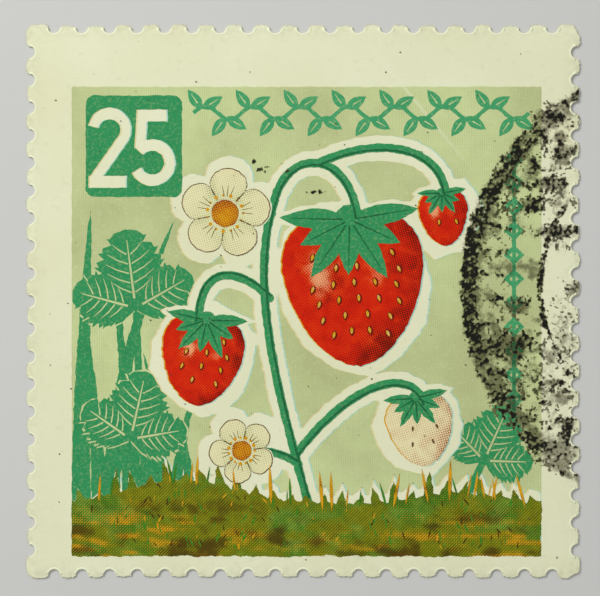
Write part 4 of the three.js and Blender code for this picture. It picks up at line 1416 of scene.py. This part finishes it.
def make_blossoms(settings):
    petals = halftone_ink("petal cream", settings, settings.cream, settings.tint, settings.speck, 0.12)
    heart_ink = halftone_ink("blossom heart", settings, settings.ochre, settings.red, settings.speck, 0.2)
    outline_ink = solid_ink("petal outline", settings.speck, settings.cream, 0.5)
    stamen = small_film("stamen", arc(0, 0, 0.11, 0, FULL_TURN * 0.9, 9), 0.006)
    for name, blossom in BLOSSOMS.items():
        x, y, radius = blossom["x"], blossom["y"], blossom["radius"]
        heart = radius * BLOSSOM_HEART
        loop = roughened(blossom_loop(blossom), 700, 0.012)
        hole = arc(x, y, heart + BLOSSOM_GAP * 0.4, 0, FULL_TURN * 0.98, 40)
        shape = without([loop], [hole], spacing=0.3)
        away = np.hypot(shape[0][:, 0] - x, shape[0][:, 1] - y) / radius
        angle = np.arctan2(shape[0][:, 1] - y, shape[0][:, 0] - x) - blossom["turn"]
        fold = 1 - np.abs(np.cos(2.5 * angle))
        cover = np.clip(0.75 - away * 1.1, 0, 1) + 0.32 * fold
        values = {"cover": cover, "shade": np.clip(0.35 * fold - 0.12, 0, 1)}
        add_film(f"blossom_{name}_ink", shape, TOP_PRINT, petals, [f"blossom_{name}"], values)
        edge = without([loop], [roughened(blossom_loop(blossom, -0.06), 700, 0.012)])
        add_film(f"blossom_{name}_rim", edge, TOP_PRINT + 0.003, outline_ink)
        lines = without(petal_lines(blossom, heart), [])
        add_film(f"blossom_{name}_lines", lines, TOP_PRINT + 0.004, outline_ink)
        shape = filled(roughened(arc(x, y, heart, 0, FULL_TURN * 0.98, 40), 720, 0.012), 0.2)
        away = np.hypot(shape[0][:, 0] - x, shape[0][:, 1] - y) / heart
        values = {"cover": 0.1 + 0.3 * away, "shade": 0.1 + 0.4 * away**2}
        nodes = [f"blossom_heart_{name}"]
        add_film(f"blossom_{name}_heart", shape, TOP_PRINT, heart_ink, nodes, values)
        places = []
        for k in range(15):
            angle = FULL_TURN * k / 15
            px, py = x + heart * 1.32 * math.cos(angle), y + heart * 1.32 * math.sin(angle)
            places.append((px, py, PAPER + TOP_PRINT - 0.001, 0.0, 0.7 + 0.3 * (k % 2)))
        add_copies(f"blossom_{name}_stamens", stamen, places, heart_ink)


def top_faces(name, shape, height):
    """Bare faces at a height above the flat sheet, for copies to be scattered on."""
    points, triangles = shape
    mesh = bpy.data.meshes.new(name)
    level = np.full(len(points), PAPER + height)
    mesh.from_pydata((np.column_stack((points, level)) * MM).tolist(), [], triangles.tolist())
    return mesh


def make_ground(settings):
    """Painted ground strip, with short strokes over it and thin dry blades along its top."""
    loop = roughened(ground_loop(), 800, 0.03)
    shape = filled(loop, 0.2)
    x, y = shape[0][:, 0], shape[0][:, 1]
    depth = np.clip((ground_level(x) - y) / GROUND_HEIGHT, 0, 1)
    broad = soft_noise(x * 0.45, y, 1.1, 81, 3)
    blot = soft_noise(x * 0.6, y, 0.7, 84, 3)
    streak = soft_noise(x * 0.3, y * 1.3, 0.5, 87, 2)
    sides = np.clip(np.abs(x) / HALF, 0, 1)
    low = np.clip(depth * 1.8 - 0.35, 0.12, 1)
    values = {
        "moss": np.clip((broad - 0.46) * 5.0 + 0.2 * (1 - depth), 0, 1.2),
        "warm": np.clip((streak - 0.52) * 5, 0, 1.1) * low * (0.3 + sides),
        "shade": np.clip((blot - 0.52) * 4.0, 0, 1.1) * np.clip(depth * 1.5, 0.3, 1) + 0.24,
    }
    add_film("ground_ink", shape, TOP_GROUND, ground_finish(settings), ["ground_strip"], values)

    def well_inside(middles):
        level = ground_level(middles[:, 0]) - 0.35
        clear = (middles[:, 0] > PANEL_LEFT + 0.35) & (middles[:, 0] < PANEL_RIGHT - 0.35)
        return clear & (middles[:, 1] < level) & (middles[:, 1] > PANEL_BOTTOM + 0.35)

    inner = region([loop], well_inside, 0.3)
    strokes = [
        ("ground_dark_strokes", settings.earth, 0.7, 11, 0.8, (0.25, 0.6)),
        ("ground_moss_strokes", settings.moss, 1.0, 12, 0.5, (0.3, 0.8)),
        ("ground_dry_strokes", settings.ochre, 0.35, 13, 0.8, (0.2, 0.6)),
    ]
    stroke = small_film("stroke", placed(pointed_leaf(1.0, 0.17), 0, 0, math.pi / 2), 0.005)
    for i, (name, colour, density, seed, lean, sizes) in enumerate(strokes):
        ink = solid_ink(name.replace("_", " "), colour, settings.olive, 0.5)
        faces = top_faces(name + " places", inner, TOP_GROUND - 0.002 + 0.001 * i)
        add_scatter(name, stroke, faces, density, seed, lean, sizes, ink)
    draws = np.random.default_rng(15)
    blade = small_film("blade", placed(pointed_leaf(1.0, 0.085), 0, -0.18, math.pi / 2), 0.006)
    kinds = [("dry_blades", settings.ochre, 22, 1.0), ("green_blades", settings.moss, 12, 0.7)]
    for name, colour, count, tall in kinds:
        brown = [c * part for c, part in zip(colour[:3], (0.6, 0.42, 0.5))] + [1.0]
        ink = halftone_ink(name.replace("_", " "), settings, colour, brown, settings.earth, 0.6)
        places = []
        for _ in range(count):
            x = draws.uniform(PANEL_LEFT + 0.4, PANEL_RIGHT - 0.4)
            size = tall * draws.uniform(0.7, 2.5)
            lean = draws.normal() * 0.13
            places.append((x, ground_level(x) - 0.1, PAPER + TOP_GROUND + 0.001, lean, size))
        add_copies(name, blade, places, ink)


def on_sheet(x, y, clear):
    """Whether a place is on the paper, clear of its torn edge and of the flared notches."""
    found = np.ones(len(x), bool)
    for side, tips in enumerate(tooth_tips()[0]):
        ends = np.array([0, *tips, 0])
        turn = side * math.pi / 2
        along = (x * math.cos(turn) + y * math.sin(turn) + HALF) / HOLE_PITCH
        away = y * math.cos(turn) - x * math.sin(turn) + HALF
        end = ends[np.clip(along.astype(int), 0, HOLES_PER_SIDE)]
        near = np.abs(along - np.clip(np.round(along), 1, HOLES_PER_SIDE)) * HOLE_PITCH
        flare = TOOTH_ROUND * np.clip(1 - np.sqrt(np.clip((away - end) / (HOLE_INSET - end), 0, None)), 0, 1)
        round_hole = np.hypot(near, np.maximum(away - HOLE_INSET, 0)) > HOLE_DIAMETER / 2 + flare + clear
        found &= round_hole & (away > end + clear)
    return found


def mark_cover(x, y):
    """How much ink the strike left at each place, on its rings, ticks and blotches and beside them."""
    r = np.hypot(x - MARK["x"], y - MARK["y"])
    angle = np.arctan2(y - MARK["y"], x - MARK["x"]) % FULL_TURN

    def ring(radius, stroke):
        return np.clip((1.25 - np.abs(r - radius) / (stroke / 2)) * 2.2, 0, 1)

    pressed = 0.6 + 0.3 * np.exp(-(((angle - 3.05) / 0.5) ** 2))
    outer = ring(MARK["outer"], MARK["stroke"]) * (pressed + 0.5 * (soft_noise(x, y, 1.1, 21) - 0.5))
    inner = ring(MARK["inner"], MARK["inner_stroke"]) * (0.35 + 0.75 * soft_noise(x, y, 1.2, 25))
    number = np.round((angle - MARK_TICK["first"]) / MARK_TICK["step"])
    number = np.clip(number, 0, MARK_TICK["count"] - 1)
    off = np.abs(angle - MARK_TICK["first"] - number * MARK_TICK["step"]) * r
    reach = (r < MARK["outer"]) & (r > MARK["outer"] - MARK_TICK["length"])
    tick = np.clip(1.3 - off / (MARK_TICK["width"] / 2), 0, 1) * reach
    tick = tick * (0.25 + 0.75 * soft_noise(x, y, 1.0, 29))
    spatter = 0.24 * np.exp(-(((r - MARK["outer"] + 0.9) / 1.1) ** 2))
    found = np.maximum.reduce([outer, inner, tick, spatter])
    for cx, cy, rx, ry, strength in MARK_BLOTCHES:
        away = ((x - cx) / rx) ** 2 + ((y - cy) / ry) ** 2
        found = np.maximum(found, 0.92 * strength**1.4 * np.exp(-(away**2) * 0.7))
    return found


def make_mark(settings):
    """Cancelling ink: blotched rings, plain ticks and smudges, only where the strike took."""
    grain = settings.grain / MM

    def field(x, y):
        noise = 0.38 * soft_noise(x, y, grain * 2.8, 31) + 0.62 * soft_noise(x, y, grain, 34)
        noise = np.clip((noise - 0.5) * 3.0 + 0.5, 0.03, 1.2)
        return np.where(on_sheet(x, y, 0.05), mark_cover(x, y) * settings.cover - noise, -0.2)

    def flecks(x, y):
        found = np.zeros(len(x))
        for cx, cy, rx, ry in MARK_FLECKS:
            found = np.maximum(found, 0.62 * np.exp(-(((x - cx) / rx) ** 2) - ((y - cy) / ry) ** 2))
        return found - np.clip((soft_noise(x, y, grain * 1.6, 37, 3) - 0.5) * 2.4 + 0.5, 0.06, 1.2)

    ink = mark_finish(settings)
    points, triangles = field_region(field, 9.2, HALF, -11.6, 13.4, 0.055)
    away = np.hypot(points[:, 0] - MARK["x"], points[:, 1] - MARK["y"])
    far = away[triangles].mean(axis=1) > (MARK["inner"] + MARK["outer"]) / 2 - 1.2
    for name, kept in (("outer", far), ("inner", ~far)):
        part = tidy_region(points, triangles[kept])
        values = {"load": np.clip(field(*part[0].T) / 0.4, 0, 1)}
        add_film(f"mark_{name}_ink", part, TOP_MARK, ink, [f"mark_{name}_ring"], values)
    shape = field_region(flecks, -4.4, 2.4, 5.4, 9.2, 0.05)
    values = {"load": np.clip(flecks(*shape[0].T) / 0.3, 0, 1)}
    add_film("mark_flecks", shape, TOP_MARK, ink, values=values)


def make_specks(settings):
    """Loose dirt: small dark specks scattered over the print and margins."""
    reach = HALF - 1
    sheet = np.array([(-reach, -reach), (reach, -reach), (reach, reach), (-reach, reach)])
    shape = filled(sheet)
    ink = solid_ink("dirt specks", deeper(settings.dirt, 0.35), settings.dirt, 0.5, 0.9)
    bpy.ops.mesh.primitive_ico_sphere_add(subdivisions=1, radius=0.06 * MM)
    source = bpy.context.object
    motif = source.data.copy()
    bpy.data.objects.remove(source)
    motif.transform(Matrix.Diagonal((1.0, 0.7, 0.2, 1.0)))
    faces = top_faces("speck places", shape, TOP_DETAIL)
    add_scatter("dirt_specks", motif, faces, 0.11, 5, math.pi, (0.25, 1.2), ink)


def area_light(name, place, size, power, colour):
    """Soft square light that points at the middle of the sheet."""
    data = bpy.data.lights.new(name, "AREA")
    data.size = size
    data.energy = power
    data.color = colour
    lamp = add_object(name, data)
    lamp.location = place
    lamp.rotation_euler = (-Vector(place)).to_track_quat("-Z", "Y").to_euler()


def make_stage(settings):
    """Pale floor, soft light from the upper left and a camera straight above."""
    mesh = bpy.data.meshes.new("floor")
    signs = ((-1, -1), (1, -1), (1, 1), (-1, 1))
    mesh.from_pydata([(x * FLOOR_HALF, y * FLOOR_HALF, 0) for x, y in signs], [], [(0, 1, 2, 3)])
    shader = Shader("floor", 0.8, 0.2)
    colour = shader.blend(shader.noise(0.05), settings.floor, deeper(settings.floor, 0.95))
    mesh.materials.append(shader.finish(colour))
    add_object("floor", mesh)
    area_light("key light", (-0.17, 0.16, 0.17), 0.12, settings.key_power, (1.0, 1.0, 0.97))
    area_light("fill light", (0.22, -0.12, 0.18), 0.25, settings.fill_power, (1.0, 0.98, 0.9))
    scene = bpy.context.scene
    world = bpy.data.worlds.new("even light")
    world.use_nodes = True
    even = world.node_tree.nodes["Background"].inputs
    even["Color"].default_value = (0.95, 0.97, 1.0, 1.0)
    even["Strength"].default_value = settings.ambient
    scene.world = world
    scene.view_settings.view_transform = "Standard"
    data = bpy.data.cameras.new("camera")
    data.lens = LENS
    data.sensor_width = SENSOR
    data.clip_start = 0.005
    camera = add_object("camera", data)
    camera.location = (settings.view_x, settings.view_y, settings.view_width * LENS / SENSOR)
    scene.camera = camera


# Operators and panel


class STAMP_OT_stage(bpy.types.Operator):
    """Floor, lights and camera"""

    bl_idname = "stamp.stage"
    bl_label = "Stage"

    def execute(self, context):
        make_stage(context.scene.stamp_stage)
        return {"FINISHED"}


class STAMP_OT_paper(bpy.types.Operator):
    """Perforated paper sheet"""

    bl_idname = "stamp.paper"
    bl_label = "Paper sheet"

    def execute(self, context):
        make_paper(context.scene.stamp_sheet)
        return {"FINISHED"}


class STAMP_OT_edges(bpy.types.Operator):
    """Pressed rims of the holes, and fibres on the torn tips"""

    bl_idname = "stamp.edges"
    bl_label = "Hole rims and torn fibres"

    def execute(self, context):
        make_rims(context.scene.stamp_sheet)
        make_fibres(context.scene.stamp_sheet)
        return {"FINISHED"}


class STAMP_OT_tint(bpy.types.Operator):
    """Background tint of the printed panel"""

    bl_idname = "stamp.tint"
    bl_label = "Tint"

    def execute(self, context):
        make_tint(context.scene.stamp_print)
        return {"FINISHED"}


class STAMP_OT_ground(bpy.types.Operator):
    """Ground strip and its strokes"""

    bl_idname = "stamp.ground"
    bl_label = "Ground strip"

    def execute(self, context):
        make_ground(context.scene.stamp_print)
        return {"FINISHED"}


class STAMP_OT_leaves(bpy.types.Operator):
    """Leaves and tall blades"""

    bl_idname = "stamp.leaves"
    bl_label = "Leaves"

    def execute(self, context):
        make_leaves(context.scene.stamp_print)
        return {"FINISHED"}


class STAMP_OT_fruits(bpy.types.Operator):
    """Fruits, with their seeds"""

    bl_idname = "stamp.fruits"
    bl_label = "Fruits"

    def execute(self, context):
        make_fruits(context.scene.stamp_print)
        make_seeds(context.scene.stamp_print)
        return {"FINISHED"}


class STAMP_OT_stems(bpy.types.Operator):
    """Stems and sepals"""

    bl_idname = "stamp.stems"
    bl_label = "Stems"

    def execute(self, context):
        make_stems(context.scene.stamp_print)
        return {"FINISHED"}


class STAMP_OT_blossoms(bpy.types.Operator):
    """Blossoms, with their hearts and lines"""

    bl_idname = "stamp.blossoms"
    bl_label = "Blossoms"

    def execute(self, context):
        make_blossoms(context.scene.stamp_print)
        return {"FINISHED"}


class STAMP_OT_ornaments(bpy.types.Operator):
    """Value tablet and running ornaments"""

    bl_idname = "stamp.ornaments"
    bl_label = "Tablet and ornaments"

    def execute(self, context):
        make_tablet(context.scene.stamp_print)
        make_ornaments(context.scene.stamp_print)
        return {"FINISHED"}


class STAMP_OT_mark(bpy.types.Operator):
    """Cancellation mark"""

    bl_idname = "stamp.mark"
    bl_label = "Cancellation mark"

    def execute(self, context):
        make_mark(context.scene.stamp_mark)
        return {"FINISHED"}


class STAMP_OT_specks(bpy.types.Operator):
    """Specks of dirt"""

    bl_idname = "stamp.specks"
    bl_label = "Dirt specks"

    def execute(self, context):
        make_specks(context.scene.stamp_sheet)
        return {"FINISHED"}


OPERATORS = (
    STAMP_OT_stage,
    STAMP_OT_paper,
    STAMP_OT_edges,
    STAMP_OT_tint,
    STAMP_OT_ground,
    STAMP_OT_leaves,
    STAMP_OT_fruits,
    STAMP_OT_stems,
    STAMP_OT_blossoms,
    STAMP_OT_ornaments,
    STAMP_OT_mark,
    STAMP_OT_specks,
)


class STAMP_PT_panel(bpy.types.Panel):
    """Lists the stamp's settings and pieces"""

    bl_idname = "STAMP_PT_panel"
    bl_label = "Postage stamp"
    bl_space_type = "VIEW_3D"
    bl_region_type = "UI"
    bl_category = "Stamp"

    def draw(self, context):
        for name in SETTINGS:
            settings = getattr(context.scene, name)
            box = self.layout.box()
            for key in settings.__annotations__:
                box.prop(settings, key)
        for operator in OPERATORS:
            self.layout.operator(operator.bl_idname)


SETTINGS = {
    "stamp_sheet": StampSheetSettings,
    "stamp_print": StampPrintSettings,
    "stamp_mark": StampMarkSettings,
    "stamp_stage": StampStageSettings,
}


def register():
    for cls in (*SETTINGS.values(), *OPERATORS, STAMP_PT_panel):
        bpy.utils.register_class(cls)
    for name, cls in SETTINGS.items():
        setattr(bpy.types.Scene, name, bpy.props.PointerProperty(type=cls))


def unregister():
    for name in SETTINGS:
        delattr(bpy.types.Scene, name)
    for cls in reversed((*SETTINGS.values(), *OPERATORS, STAMP_PT_panel)):
        bpy.utils.unregister_class(cls)


def main():
    register()
    for operator in OPERATORS:
        group, action = operator.bl_idname.split(".")
        getattr(getattr(bpy.ops, group), action)()


if __name__ == "__main__":
    main()
